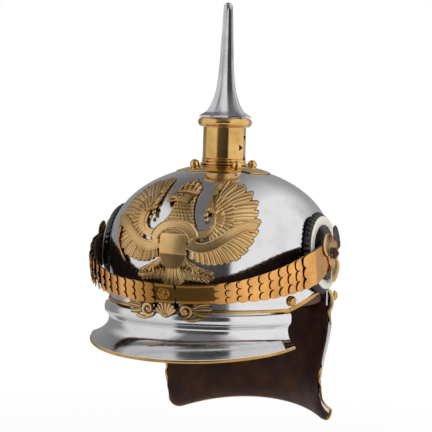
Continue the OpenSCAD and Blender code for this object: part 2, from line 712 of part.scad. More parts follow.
// One lobed scale: its base lies on the leather, its free edge rides on the next scale's base
lap_gap = 0.3;
free_rise = scale_seat + 1.6 * (scale_t + lap_gap);
module lobed_outline(w, length) {
    lobe = w / 6;
    translate([lobe, -w / 2]) square([length - lobe, w]);
    for (z = [-2, 0, 2]) translate([lobe, z * lobe]) circle(r = lobe * 1.02, $fn = 24);
}
module lobed_scale(a, w, length) {
    b = a + arc_of(a, length);
    tip = strap_pt(a, 0) + free_rise * strap_out(a);
    base = strap_pt(b, 0) + scale_seat * strap_out(b);
    d = unit(base - tip);
    translate(tip) rotate([0, 0, atan2(-d[0], d[1])])
        rotate([90, 0, 90]) linear_extrude(scale_t) lobed_outline(w, norm(base - tip));
}
module scale_row(first, count) for (k = [1:count]) {
    a = first - k * scale_step;
    pitch = norm(strap_pt(a + scale_step, 0) - strap_pt(a, 0));
    lobed_scale(a, strap_width(a), pitch + scale_lap);
}
// Leather under the scales between two angles, a little narrower than they are
module strap_leather(from, to, steps) {
    function row(a, out) =
        let (h = strap_width(a) / 2 - 1.2, p = strap_pt(a, 0) + out * strap_out(a))
        [p + [0, 0, h], p - [0, 0, h]];
    angles = [for (k = [0:steps]) mix(from, to, k / steps)];
    shell([for (a = angles) row(a, 0)], [for (a = angles) row(a, -leather_t)]);
}
// The leather of a length starts just behind the base of its first scale
function leather_back(edge) = edge + arc_of(edge, scale_lap + 0.3);
function leather_stop(edge) = edge + arc_of(edge, scale_lap + 1.1);

// End piece: flat over the cockade, then bent to the free edge of the end scale
end_point = strap_pt(end_edge, 0);
bend_y = -(cockade_r + 2.5);
bend_point = [strap_half_w + bend_y * tan(side_turn), bend_y, 0];
tail = 11;
module post_bore(r) translate([0, -post_fore, post_z]) rotate([0, 90, 0]) cylinder(h = 2 * strap_half_w, r = r);
// Bent strip between two offsets from the leather's face, cut to an outline seen from the side
module bent_strip(low, high, tip_rise, tip_back) strap_frame() intersection() {
    run = unit(end_point - bend_point);
    out = [-run[1], run[0], 0];
    tip = end_point - tip_back * run + tip_rise * out;
    half_bend = (atan2(bend_point[0] - end_point[0], bend_point[1] - end_point[1]) + side_turn) / 2;
    corner = [cos(half_bend), -sin(half_bend), 0];
    rear = [strap_half_w + (tail + 2) * tan(side_turn), tail + 2, 0];
    path_low = [rear + [low, 0, 0], bend_point + low * corner, tip + low * out];
    path_high = [rear + [high, 0, 0], bend_point + high * corner, tip + high * out];
    translate([0, 0, -strap_end_w]) linear_extrude(2 * strap_end_w)
        polygon([for (q = concat(path_low, [path_high[2], path_high[1], path_high[0]])) [q[0], q[1]]]);
    translate([strap_half_w - 20, 0, 0]) rotate([90, 0, 90]) linear_extrude(30) children();
}
module end_outline(w, from, round_r) {
    translate([from, -w / 2]) square([-from - strap_end_w + 8, w]);
    hull() {
        translate([-strap_end_w + 7, -w / 2]) square([1, w]);
        circle(r = round_r, $fn = 32);
    }
}
module end_scale() color(brass) difference() {
    lobe = strap_end_w / 6;
    bent_strip(scale_seat, scale_seat + scale_t, free_rise - scale_seat, -1) {
        end_outline(strap_end_w, end_point[1] + lobe, tail);
        for (z = [-2, 0, 2]) translate([end_point[1] + lobe, z * lobe]) circle(r = lobe * 1.02, $fn = 24);
    }
    post_bore(post_r + running_gap);
}
module end_leather() color(leather) difference() {
    bent_strip(-leather_t, 0, 0, -1) end_outline(strap_end_w - 2.4, end_point[1] + scale_lap + 1.1, tail - 1);
    post_bore(post_r + running_gap);
}
module rosette() color(brass) difference() {
    strap_frame() translate([rosette_in, 0, 0]) rotate([0, 0, -side_turn]) rotate([0, 90, 0]) intersection() {
        linear_extrude(rosette_t + rosette_rise + 2) {
            circle(r = 0.46 * rosette_r);
            for (q = leaf_angles) rotate([0, 0, q]) translate([0.6 * rosette_r, 0]) circle(r = 0.4 * rosette_r);
        }
        rotate_extrude() polygon([
            [0, 0], [0.35 * rosette_r, 0], [0.6 * rosette_r, rosette_rise], [rosette_r + 1, 0.4],
            [rosette_r + 1, 0.4 + rosette_t], [0.6 * rosette_r, rosette_rise + rosette_t],
            [0.35 * rosette_r, rosette_t], [0, rosette_t]
        ]);
    }
    post_bore(post_r + running_gap);
}

// Rear and front lengths of a strap
module rear_scale_row() color(brass) strap_frame() scale_row(end_edge, rear_scales);
module rear_leather() color(leather) strap_frame()
    strap_leather(leather_stop(rear_edge), leather_back(end_edge), 12);
module front_scale_row(count) color(brass) strap_frame() scale_row(rear_edge, count);
function plate_edge(count) = rear_edge - count * scale_step;
module front_leather(count, stop) color(leather) strap_frame()
    strap_leather(stop + 0.15, leather_back(rear_edge), 16);
// Smooth plate that ends a strap: crowned across its width
module end_plate(count, stop) {
    from = stop + 0.15;
    to = plate_edge(count) + arc_of(20, 0.75 * scale_lap);
    crown = 0.12;
    function row(a, out) = let (n = strap_out(a), p = strap_pt(a, 0), h = strap_w / 2)
        [for (k = [-1:0.5:1]) p + (scale_seat + out + crown * (1 - k ^ 2)) * n - [0, 0, k * h]];
    angles = [for (k = [0:8]) mix(from, to, k / 8)];
    color(brass) strap_frame() shell([for (a = angles) row(a, scale_t)], [for (a = angles) row(a, 0)]);
}

module left_cockade() cockade();
module right_cockade() mirror([1, 0, 0]) cockade();
module left_cockade_ring() cockade_ring();
module right_cockade_ring() mirror([1, 0, 0]) cockade_ring();
module left_post() post();
module right_post() mirror([1, 0, 0]) post();
module left_knob() knob();
module right_knob() mirror([1, 0, 0]) knob();
module left_rosette() rosette();
module right_rosette() mirror([1, 0, 0]) rosette();
module left_end_scale() end_scale();
module right_end_scale() mirror([1, 0, 0]) end_scale();
module left_end_leather() end_leather();
module right_end_leather() mirror([1, 0, 0]) end_leather();
module left_rear_scales() rear_scale_row();
module right_rear_scales() mirror([1, 0, 0]) rear_scale_row();
module left_rear_leather() rear_leather();
module right_rear_leather() mirror([1, 0, 0]) rear_leather();
module left_front_scales() front_scale_row(left_front_scales);
module right_front_scales() mirror([1, 0, 0]) front_scale_row(right_front_scales);
module left_front_leather() front_leather(left_front_scales, parting);
module right_front_leather() mirror([1, 0, 0]) front_leather(right_front_scales, -parting);
module left_end_plate() end_plate(left_front_scales, parting);
module right_end_plate() mirror([1, 0, 0]) {
    end_plate(right_front_scales, -parting);
    color(brass) strap_frame() at_strap(1.6, 0.9) rotate([0, 90, 0]) rivet(0.34 * strap_w, 0.4);
}

// Stamped relief: discs laid on the skull and joined in pairs
module on_face(x, z, out) {
    n = face_normal(x, z);
    translate(face_pt(x, z, out)) rotate(a = acos(n[2]), v = cross([0, 0, 1], n)) children();
}
module chip(x, z, r, lift = 0, up = 0) {
    p = on_plate(x, z);
    on_face(p[0], p[1], seat_gap + 0.4 + up) cylinder(h = relief_t + lift * relief_unit, r = r * relief_unit, $fn = 6);
}
module stroke(points, r0, r1, lift = 0) for (k = [0:len(points) - 2]) hull() {
    chip(points[k][0], points[k][1], mix(r0, r1, k / (len(points) - 1)), lift);
    chip(points[k + 1][0], points[k + 1][1], mix(r0, r1, (k + 1) / (len(points) - 1)), lift);
}
bone_keys_x = [[0, 25], [0.3, 30], [0.55, 28], [0.8, 16], [1, 9]];
bone_keys_z = [[0, 90], [0.3, 79], [0.55, 68], [0.8, 61], [1, 56]];
module wing() {
    for (k = [0:feathers - 1]) {
        t = k / (feathers - 1);
        q = mix(98, -108, t);
        root = [smooth_at(bone_keys_x, t), smooth_at(bone_keys_z, t)];
        tip = [26, 72] + (34.4 - 10.4 * t ^ 3) * [cos(q), sin(q)];
        stroke([root, tip], 2.6, 4.6, 0.3 + (k % 2) * 0.6);
    }
    stroke([for (k = [0:4]) [smooth_at(bone_keys_x, k / 4), smooth_at(bone_keys_z, k / 4)]], 3.4, 5, 1.4);
    stroke([[24, 86], [25, 81]], 3, 2, 2.4);
}
module front_eagle() color(gilt) difference() {
    eagle_relief();
    skull_form(-seat_gap - 0.35, 0, $fn = 48);
}
module eagle_relief() {
    wing();
    mirror([1, 0, 0]) wing();
    stroke([[1, 95], [3, 84], [1, 74], [0, 62], [0, 48], [0, 38]], 6.5, 8, 1.2);
    stroke([[0, 70], [0, 62], [0, 54]], 9, 9, 1.4);
    stroke([[-2, 94], [-9, 95], [-11, 93]], 4, 1.2, 1.4);
    stroke([[-2, 98], [9, 98]], 2.4, 2.4, 1.6);
    for (k = [-2:2]) stroke([[2 + 2.2 * k, 99], [3 + 3.6 * k, 105 - abs(k)]], 1.5, 2, 1.2);
    hull() {
        chip(-8, 64, 4, 1.8, 0.9);
        chip(8, 64, 4, 1.8, 0.9);
        chip(0, 43, 4, 1.8, 0.9);
    }
    for (k = [-2:2]) stroke([[2 * k, 38], [3.6 * k, 25 + abs(k)]], 2, 3, 0.4);
    for (s = [-1, 1]) {
        stroke([[7 * s, 44], [16 * s, 40]], 3, 2.6, 1.2);
        for (k = [0:3]) stroke([[(12 + 4 * k) * s, 41 - k], [(19 + 4 * k) * s, 31 + 2.5 * k]], 2, 3.4, 0.3);
        for (k = [0:1]) stroke([[(11 + 6 * k) * s, 42], [(20 + 7 * k) * s, 42 - 2 * k]], 2, 3.2, 0.6);
    }
    stroke([[-57, 71], [-61, 56], [-55, 45], [-49, 36]], 2.6, 2, 0.4);
}

module eagle_posts() color(brass) for (p = eagle_post_places)
    translate([p[0], face_pt(p[0], p[1], seat_gap + 0.4)[1] - 0.6, p[1]]) rotate([-90, 0, 0])
        cylinder(h = 9.6, r = eagle_post_r);
module eagle_nuts() color(steel) for (p = eagle_post_places)
    translate([p[0], face_pt(p[0], p[1], 0)[1] + sheet_t + 2, p[1]]) rotate([-90, 0, 0]) difference() {
        cylinder(h = 2.6, r = 2.3 * eagle_post_r, $fn = 6);
        translate([0, 0, -1]) cylinder(h = 5, r = eagle_post_r + 0.05);
    }

// Leaf and scroll ornament over the joint: a shell between two scrolls with leafy ends
scroll_z = 2;
scroll_out = top_out + band_out + 0.5;
module bit(x, z, r, lift = 0) {
    a = asin(x / (skull_half_w + scroll_out));
    translate(plan_pt(a, z, scroll_out)) rotate([90, 0, a]) cylinder(h = 1.6 + lift, r = r, $fn = 5);
}
module limb(x0, z0, r0, x1, z1, r1, lift) hull() {
    bit(x0, z0, r0, lift);
    bit(x1, z1, r1, lift);
}
module front_scroll() color(gilt) {
    for (k = [-2:2]) limb(0.5 * k, scroll_z - 4, 1.5, 3.4 * k, scroll_z + 5 - 0.8 * abs(k), 2.2, 1);
    for (s = [-1, 1]) {
        for (k = [0:4]) {
            q0 = 200 - 62 * k;
            q1 = 200 - 62 * (k + 1);
            limb(s * (14 + (6 - 0.5 * k) * cos(q0)), scroll_z + (5.4 - 0.5 * k) * sin(q0), 1.8,
                s * (14 + (5.5 - 0.5 * k) * cos(q1)), scroll_z + (4.9 - 0.5 * k) * sin(q1), 1.6, 0.8);
        }
        for (k = [-1:1]) limb(s * 21, scroll_z + 2 * k, 1.8, s * (32 - 3 * abs(k)), scroll_z + 2 + 4 * k, 2, 0.6);
    }
}

// Leather sweatband and the tongues over the crown
module sweatband() color(leather) {
    low = 3;
    inner_w = skull_half_w - sheet_t - band_gap;
    inner_l = skull_half_l - sheet_t - band_gap;
    translate([0, 0, low]) difference() {
        scale([1, inner_l / inner_w, 1]) cylinder(h = band_h, r1 = inner_w - brow_in, r2 = inner_w - brow_in / 2);
        translate([0, 0, -1]) scale([1, (inner_l - band_t) / (inner_w - band_t), 1])
            cylinder(h = band_h + 2, r1 = inner_w - band_t - brow_in, r2 = inner_w - band_t - brow_in / 2);
    }
}
tongue_steps = 9;
module crown_tongues() {
    low = 3 + band_h - 8;
    start = band_gap + sheet_t + band_t - 0.3;
    function arc_pt(q, side, e, d) =
        let (
            w = skull_half_w - start - d,
            l = skull_half_l - start - d,
            c = dome_h - start - d - 12 * sin(e),
            z = low + (wall_h - low + c * sin(e)) * sin(e) ^ 0.8,
            k = cos(e) ^ 0.9 - brow_in / skull_half_w * (1 - sin(e)),
            t = q + side / (skull_half_w * k) * 180 / PI
        )
        [w * k * sin(t), -l * k * cos(t), z];
    function half(e) = tongue_w / 2 * (1 - 0.78 * sin(e) ^ 1.5);
    function row(q, side, d) = [for (k = [tongue_steps:-1:0]) let (e = 72 * k / tongue_steps)
        arc_pt(q, side * half(e), e, d)];
    color(leather) for (i = [0:tongues - 1]) {
        q = 360 * (i + 0.5) / tongues;
        shell([for (s = [-1:1]) row(q, s, 0)], [for (s = [-1:1]) row(q, s, band_t)]);
    }
}

skull();
visor();
visor_lining();
visor_trim();
front_rail();
neck_guard();
neck_guard_lining();
neck_guard_trim();
arch_trims();
side_studs();
spike_base();
base_studs();
spike_neck();
spike_socket();
spike_ring();
spike();
front_eagle();
eagle_posts();
eagle_nuts();
front_scroll();
left_cockade();
right_cockade();
left_cockade_ring();
right_cockade_ring();
left_post();
right_post();
left_knob();
right_knob();
post_nuts();
left_rosette();
right_rosette();
left_end_scale();
right_end_scale();
left_end_leather();
right_end_leather();
left_rear_scales();
right_rear_scales();
left_rear_leather();
right_rear_leather();
left_front_scales();
right_front_scales();
left_front_leather();
right_front_leather();
left_end_plate();
right_end_plate();
sweatband();
crown_tongues();
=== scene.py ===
# %% [markdown]
# # Cuirassier helmet, dressed for its picture
# The helmet is a polished steel skull with a stepped peak and a long neck guard, a brass neck
# with a six-sided spike, a gilt eagle on the front, cockades on steel posts, and chin scales
# that ride over the peak. The solid model gives every size and place. This lesson puts finished
# surfaces over its pieces, chooses the finishes, sets up the studio, and tells each piece which
# moving body it rides on.

# %% Load the frame
import json
import math
import bpy
from mathutils import Matrix, Quaternion, Vector

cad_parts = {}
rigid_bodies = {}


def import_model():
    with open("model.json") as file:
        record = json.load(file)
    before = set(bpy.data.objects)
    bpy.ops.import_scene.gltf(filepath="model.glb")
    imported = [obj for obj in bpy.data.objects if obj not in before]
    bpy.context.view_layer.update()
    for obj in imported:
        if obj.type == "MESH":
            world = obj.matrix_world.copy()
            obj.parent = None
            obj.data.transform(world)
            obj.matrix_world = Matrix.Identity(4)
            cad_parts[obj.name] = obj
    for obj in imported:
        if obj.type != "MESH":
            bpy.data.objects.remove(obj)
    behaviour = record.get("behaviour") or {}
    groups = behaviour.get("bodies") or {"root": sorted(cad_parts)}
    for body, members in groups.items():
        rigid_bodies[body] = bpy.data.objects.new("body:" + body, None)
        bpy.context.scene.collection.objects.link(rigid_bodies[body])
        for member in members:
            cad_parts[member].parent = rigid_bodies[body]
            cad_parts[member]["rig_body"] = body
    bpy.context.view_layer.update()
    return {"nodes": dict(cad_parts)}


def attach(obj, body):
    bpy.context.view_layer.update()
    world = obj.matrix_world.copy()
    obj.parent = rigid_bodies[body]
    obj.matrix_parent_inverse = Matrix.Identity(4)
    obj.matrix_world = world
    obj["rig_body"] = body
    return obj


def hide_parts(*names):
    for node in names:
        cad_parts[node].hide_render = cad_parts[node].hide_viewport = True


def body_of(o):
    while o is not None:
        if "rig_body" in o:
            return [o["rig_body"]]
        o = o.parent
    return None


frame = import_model()
nodes = frame["nodes"]

# %% [markdown]
# ## Sizes
# All sizes are the solid model's own, in millimetres: Z is up along the spike, the front is
# -Y, the wearer's left is +X, and Z 0 is the brow line where the peak meets the skull.

# %% Sizes in millimetres
MM = 0.001
# Skull: half width, half length, height of the wall, height of the dome above it.
HALF_W, HALF_L, WALL, DOME = 97.0, 111.0, 52.0, 69.0
# How far the wall draws in at the brow, the steel's thickness, and the play between two sheets.
BROW_IN, SHEET, SEAT = 2.0, 1.2, 0.3
# Peak: where it ends (degrees from the front), its bands, and the circle of its rim.
PEAK_END, TOP_OUT = 60.0, 1.5
BAND_H, STEP_H, BAND_OUT = 9.5, 8.0, 2.4
RIM_R, RIM_REACH, RIM_END, RIM_FRONT, RIM_SPREAD = 95.0, 29.0, 27.5, 36.4, 78.0
# Neck guard: half its spread at top and foot (degrees), its drop, its corners and its flare.
GUARD_TOP, GUARD_FOOT, GUARD_DROP, CORNER_DROP, CORNER_R, FLARE = 79.0, 46.0, 104.0, 14.0, 14.0, 17.0
ARCH_H = 15.5
# Heights on the crown, the ring's bead and the length of the spike.
NECK_FOOT, RING_Z, RING_BEAD, SPIKE_Z, SPIKE_H = 121.9, 159.2, 4.1, 163.5, 101.5
# Chin scales: the post they turn on, and the curve they follow, which dips by DIP degrees.
POST = Vector((0.0, -9.0, 49.0))
STRAP_W, STRAP_REACH, STRAP_FULL, DIP = 104.5, 117.4994, 2.2, 15.8
PLATE, SCALE = 0.35, 0.6
print("skull", 2 * HALF_W, "by", 2 * HALF_L, "mm, crown at", WALL + DOME)

# %% Small general functions
def sin(a):
    return math.sin(math.radians(a))


def cos(a):
    return math.cos(math.radians(a))


def mix(a, b, t):
    return a + (b - a) * t


def clamp(v, low=0.0, high=1.0):
    return max(low, min(high, v))


def soft(low, high, v):
    t = clamp((v - low) / (high - low))
    return t * t * (3 - 2 * t)


def spaced(a, b, n):
    """From a to b in n even steps."""
    return [mix(a, b, i / n) for i in range(n + 1)]


def half_round(v):
    """Height of a half circle over v, -1 to 1."""
    return math.sqrt(max(1 - v * v, 0))


def hump(v, wide):
    """A smooth bump, 1 high at v = 0, that has almost gone at twice its width."""
    return math.exp(-(v / wide) ** 2)


def through(keys, u):
    """Smooth curve through (place, value) keys, as the solid model draws it."""
    def slope(i):
        a, b = keys[max(i - 1, 0)], keys[min(i + 1, len(keys) - 1)]
        return (b[1] - a[1]) / (b[0] - a[0])
    i = max(k for k in range(len(keys) - 1) if k == 0 or keys[k][0] <= u)
    (x0, y0), (x1, y1) = keys[i], keys[i + 1]
    h = x1 - x0
    t = clamp((u - x0) / h)
    s = t * t * (3 - 2 * t)
    return mix(y0, y1, s) + h * (slope(i) * t * (1 - t) ** 2 - slope(i + 1) * t * t * (1 - t))

# %% [markdown]
# ## Where the skull's surface is
# The skull is an ellipse in plan, almost upright up to its widest line and half an ellipsoid
# above. Everything that lies on it asks these functions for its place and its outward direction.

# %% The skull's surface
def share(z):
    return 1 - BROW_IN / HALF_W * clamp(WALL - z, 0, WALL) / WALL


def plan(a, z, out=0.0):
    """Point at angle a from straight ahead, towards the wearer's left."""
    return Vector(((HALF_W * share(z) + out) * sin(a), -(HALF_L * share(z) + out) * cos(a), z))


def face(x, z, out=0.0):
    """Point of the front that is x to the side and z high."""
    k = share(z)
    h = max(z - WALL, 0) / (DOME + out)
    deep = max(1 - (x / (HALF_W + out) / k) ** 2 - h * h, 0)
    return Vector((x, -(HALF_L + out) * k * math.sqrt(deep), z))


def face_out(p):
    return Vector((p.x / HALF_W**2, p.y / HALF_L**2, max(p.z - WALL, 0) / DOME**2)).normalized()


print("front of the dome at eye height", face(0, 60))

# %% [markdown]
# ## Tools of the bench
# `sheet` lays a net of faces over rows of points, for pressed and hammered forms that follow a
# formula. `lathe` spins a profile, for everything that was turned. `sweep` drags a section along
# an edge, for folded channels and beads. `done` shades, names the finish and sets the piece on
# its body.

# %% Selecting and editing
def deselect():
    """An operator acts on all that is selected, so the bench is cleared before each new piece."""
    bpy.ops.object.select_all(action="DESELECT")


def only(obj):
    deselect()
    obj.select_set(True)
    bpy.context.view_layer.objects.active = obj


def editing(obj, *steps):
    only(obj)
    bpy.ops.object.mode_set(mode="EDIT")
    bpy.ops.mesh.select_all(action="SELECT")
    for step in steps:
        step()
    bpy.ops.object.mode_set(mode="OBJECT")
    return obj


def outwards():
    bpy.ops.mesh.normals_make_consistent(inside=False)


def mend():
    bpy.ops.mesh.remove_doubles(threshold=0.000004)
    outwards()


def freeze():
    """Moves the active object's place, turn and scale into its mesh."""
    bpy.ops.object.transform_apply(location=True, rotation=True, scale=True)


def made(name, points, edges=(), faces=()):
    mesh = bpy.data.meshes.new(name)
    mesh.from_pydata([Vector(p) * MM for p in points], list(edges), list(faces))
    obj = bpy.data.objects.new(name, mesh)
    bpy.context.collection.objects.link(obj)
    return obj


def apply_modifier(obj, kind, **settings):
    only(obj)
    mod = obj.modifiers.new(kind.title(), kind)
    for key, value in settings.items():
        setattr(mod, key, value)
    bpy.ops.object.modifier_apply(modifier=mod.name)
    return obj


def walled(obj, thick):
    """Gives an open sheet its thickness inwards, so that its outer face stays where it is."""
    return apply_modifier(obj, "SOLIDIFY", thickness=thick * MM, offset=-1)


def eased(obj):
    """Rounds the hard edges of a cut sheet over by a quarter of a millimetre."""
    return apply_modifier(obj, "BEVEL", width=0.25 * MM, segments=2, angle_limit=1.0)


def marked(obj, height):
    """Writes a painted shade value for each point, 0 to 1, which the finish turns into dark colour where it
    is low; in the gilt the dark is partly patina.
    """
    layer = obj.data.attributes.new("relief", "FLOAT", "POINT")
    layer.data.foreach_set("value", [height(v.co / MM) for v in obj.data.vertices])
    return obj


def joined(name, parts):
    deselect()
    for part in parts:
        part.select_set(True)
    bpy.context.view_layer.objects.active = parts[0]
    if len(parts) > 1:
        bpy.ops.object.join()
    parts[0].name = name
    parts[0].data.name = name
    return parts[0]

# %% Sheet, lathe and sweep
def sheet(name, rows, thick=0.0, ring=False, tube=False, cap=False):
    """Net of quads: rows of points, closed from last row to first (ring) or within a row (tube)."""
    n, m = len(rows), len(rows[0])
    quads = [
        (i % n * m + j % m, (i + 1) % n * m + j % m, (i + 1) % n * m + (j + 1) % m, i % n * m + (j + 1) % m)
        for i in range(n if ring else n - 1) for j in range(m if tube else m - 1)
    ]
    if cap:
        quads += [tuple(range(m)), tuple((n - 1) * m + j for j in range(m))]
    obj = made(name, [p for row in rows for p in row], faces=quads)
    editing(obj, mend)
    if thick:
        apply_modifier(obj, "SOLIDIFY", thickness=thick * MM, offset=0, use_even_offset=True)
    return obj


def lathe(name, profile, steps=96):
    """Turned piece: (radius, height) profile spun round the vertical axis."""
    obj = made(name, [(r, 0, z) for r, z in profile], [(i, i + 1) for i in range(len(profile) - 1)])
    spin = lambda: bpy.ops.mesh.spin(steps=steps, angle=2 * math.pi, center=(0, 0, 0), axis=(0, 0, 1))
    return editing(obj, spin, mend)


def sweep(name, stations, section):
    """Closed section of (into, up) points dragged along stations of (point, into, up)."""
    rows = [[p + u * into + v * up for u, v in section] for p, into, up in stations]
    return sheet(name, rows, tube=True, cap=True)


def placed(obj, matrix):
    """Turns and moves the mesh itself, so that the object stays at the origin."""
    only(obj)
    obj.matrix_world = Matrix.Translation(matrix.translation * MM) @ matrix.to_3x3().to_4x4()
    freeze()
    return obj


def mirrored(obj, name):
    """The same piece for the other side of the helmet."""
    only(obj)
    bpy.ops.object.duplicate()
    twin = bpy.context.object
    twin.name = name
    twin.data.name = name
    twin.scale = (-1, 1, 1)
    freeze()
    return editing(twin, outwards)


def turned(a, axis):
    return Matrix.Rotation(math.radians(a), 4, axis)


def frame_on(point, out, up=Vector((0, 0, 1))):
    """Matrix whose Z looks out and whose Y leans up, standing at a point."""
    z = out.normalized()
    x = up.cross(z).normalized()
    return Matrix.Translation(point) @ Matrix((x, z.cross(x), z)).transposed().to_4x4()

# %% [markdown]
# ## Finishes
# Each finish starts from what the real material does to light. Patterns are sized in real
# millimetres, and every colour is written the way a picture program writes it.

# %% Colours and shader nodes
def colour(code):
    parts = [int(code[i:i + 2], 16) / 255 for i in (1, 3, 5)]
    return tuple(c / 12.92 if c <= 0.04045 else ((c + 0.055) / 1.055) ** 2.4 for c in parts) + (1.0,)


def feed(tree, item, values):
    """Links sockets and sets plain values, each by the input's name or number."""
    for key, value in values.items():
        if isinstance(value, bpy.types.NodeSocket):
            tree.links.new(value, item.inputs[key])
        elif value is not None:
            item.inputs[key].default_value = value
    return item


def add(tree, kind, values=None, **settings):
    item = tree.nodes.new(kind)
    for key, value in settings.items():
        setattr(item, key, value)
    return feed(tree, item, values or {})


def reckon(tree, operation, *values):
    return add(tree, "ShaderNodeMath", dict(enumerate(values)), operation=operation).outputs[0]


def blank(name):
    material = bpy.data.materials.new(name)
    material.use_nodes = True
    return material, material.node_tree, material.node_tree.nodes["Principled BSDF"]


def position(tree):
    return add(tree, "ShaderNodeTexCoord").outputs["Object"]


def noise(tree, size_mm, detail=3.0, stretch=(1, 1, 1)):
    place = add(tree, "ShaderNodeMapping", {"Vector": position(tree), "Scale": stretch}).outputs["Vector"]
    values = {"Vector": place, "Scale": 1 / (size_mm * MM), "Detail": detail, "Roughness": 0.55}
    return add(tree, "ShaderNodeTexNoise", values).outputs["Fac"]


def ranged(tree, value, low, high, to_low=0.0, to_high=1.0):
    values = {"Value": value, "From Min": low, "From Max": high, "To Min": to_low, "To Max": to_high}
    return add(tree, "ShaderNodeMapRange", values).outputs["Result"]


def blended(tree, factor, first, second):
    return add(tree, "ShaderNodeMix", {0: factor, 6: first, 7: second}, data_type="RGBA").outputs[2]


def bumped(tree, height, depth_mm, strength, under=None):
    values = {"Height": height, "Distance": depth_mm * MM, "Strength": strength, "Normal": under}
    return add(tree, "ShaderNodeBump", values).outputs["Normal"]

# %% [markdown]
# Polished sheet shows the room: nearly white metal, little roughness, long faint ripples left
# by the hammer and the polishing wheel, and hair-fine scratches, which are drawn 0.9 mm wide so
# that they show. A second, duller colour creeps in where fingers and weather have greyed it.
# Shade is painted into the colour: hollows, the parts of a scale that run under its neighbour and the parting
# plates go dark, and crests and ball tops are painted lighter; in the gilt the dark is partly patina. The
# straps are painted browner towards the middle, partly for tarnish and partly as painted shade.

# %% Polished metals
def metal(name, clean, tired, rough, spread, ripple, scratch, tarnish=(0.45, 0.75), shade_and_patina_tint=None, tarnish_and_shade_middle=None):
    """The last two, when given: a colour painted in as shade, partly patina in the gilt, with the shade
    values where it is darkest and where it has gone; and a brown towards the middle, partly tarnish and
    partly painted shade, with its middle and its near and far reach in mm across.
    """
    material, tree, shader = blank(name)
    cloud = noise(tree, 26, 4.0)
    tint = blended(tree, ranged(tree, cloud, *tarnish), colour(clean), colour(tired))
    # Painted browner towards the middle of the straps, partly for tarnish and partly as painted shade.
    if tarnish_and_shade_middle:
        brown, middle, near, far = tarnish_and_shade_middle
        across = add(tree, "ShaderNodeSeparateXYZ", {"Vector": position(tree)}).outputs["X"]
        uneven = reckon(tree, "MULTIPLY_ADD", cloud, across, across)
        off = reckon(tree, "ABSOLUTE", reckon(tree, "SUBTRACT", uneven, middle * MM))
        tint = blended(tree, ranged(tree, off, far * MM, near * MM), tint, colour(brown))
    # Painted shade: where a piece's shade value is low its colour turns dark; in the gilt this dark is partly
    # patina.
    if shade_and_patina_tint:
        dark, lowest, clear = shade_and_patina_tint
        height = add(tree, "ShaderNodeAttribute", attribute_name="relief").outputs["Fac"]
        tint = blended(tree, ranged(tree, height, lowest, clear, 1.0, 0.0), tint, colour(dark))
    level = ranged(tree, noise(tree, 3.0, 5.0, (1, 1, 6)), 0.3, 0.7, rough - spread, rough + spread)
    wave = bumped(tree, noise(tree, 38, 1.0), 1.0, ripple)
    lines = bumped(tree, noise(tree, 0.9, 2.0, (1, 1, 0.06)), 0.02, scratch, wave)
    feed(tree, shader, {"Base Color": tint, "Metallic": 1.0, "Roughness": level, "Normal": lines})
    return material


MAT = {
    # Rolled steel, planished and polished: close to a mirror, so it shows the room in broad shapes.
    "steel": metal("polished_steel_sheet", "#E0DFE0", "#CCC9C8", 0.11, 0.04, 0.06, 0.2, (0.5, 0.85)),
    # Turned and ground steel: a softer, greyer shine than the sheet's.
    "bright_steel": metal("turned_steel", "#D2D0D3", "#A8A5A8", 0.17, 0.05, 0.06, 0.3),
    # Brass strip folded by hand: yellow, with a slightly broken shine.
    "trim_brass": metal("folded_brass", "#D2A255", "#9F783C", 0.24, 0.06, 0.1, 0.3),
    # Brass turned on a lathe and polished: long bright and dark bands down the neck.
    "spike_brass": metal("satin_brass", "#E6BE7A", "#BF8E4C", 0.14, 0.05, 0.05, 0.3),
    # Stamped brass that hands have worn, orange at the sides; it is painted browner towards the middle,
    # partly tarnish and partly painted shade, and painted dark where scales run under their neighbours.
    "scale_brass": metal(
        "worn_scale_brass_with_painted_shade", "#F3B66C", "#CC8A44", 0.22, 0.07, 0.1, 0.4, (0.35, 0.7),
        ("#2C1E10", 0.02, 0.4), ("#94692E", 13, 32, 70)),
    # Fire-gilt brass left matt: pale gold that scatters the light, dark in its chased lines, partly patina
    # and partly painted shade, with crests and ball tops painted lighter.
    "gilt": metal(
        "matt_gilt", "#F0CB90", "#CC9F60", 0.35, 0.08, 0.1, 0.4, (0.35, 0.7), ("#3C2611", 0.06, 0.56)),
}
print("metals", sorted(MAT))

# %% [markdown]
# Black lacquer is smooth and reflects a little; silver paint on the ring is pale and half dull.
# Leather is dark, with soft worn clouds. Its pores are a few tenths of a millimetre wide and are
# drawn about 1 mm wide, so that they show.

# %% Paint and leather
def paint(name, code, rough, metallic=0.0):
    material, tree, shader = blank(name)
    level = ranged(tree, noise(tree, 6), 0.3, 0.7, rough - 0.06, rough + 0.08)
    feed(tree, shader, {"Base Color": colour(code), "Metallic": metallic, "Roughness": level})
    return material


def hide(name, clean, worn, rough, pore_mm, depth):
    material, tree, shader = blank(name)
    tint = blended(tree, ranged(tree, noise(tree, 22, 5.0), 0.4, 0.7), colour(clean), colour(worn))
    level = ranged(tree, noise(tree, 9), 0.3, 0.7, rough - 0.08, rough + 0.08)
    pores = add(tree, "ShaderNodeTexVoronoi", {"Vector": position(tree), "Scale": 1 / (pore_mm * MM)})
    grain = bumped(tree, pores.outputs["Distance"], depth, 0.5)
    feed(tree, shader, {"Base Color": tint, "Specular IOR Level": 0.22, "Roughness": level, "Normal": grain})
    return material


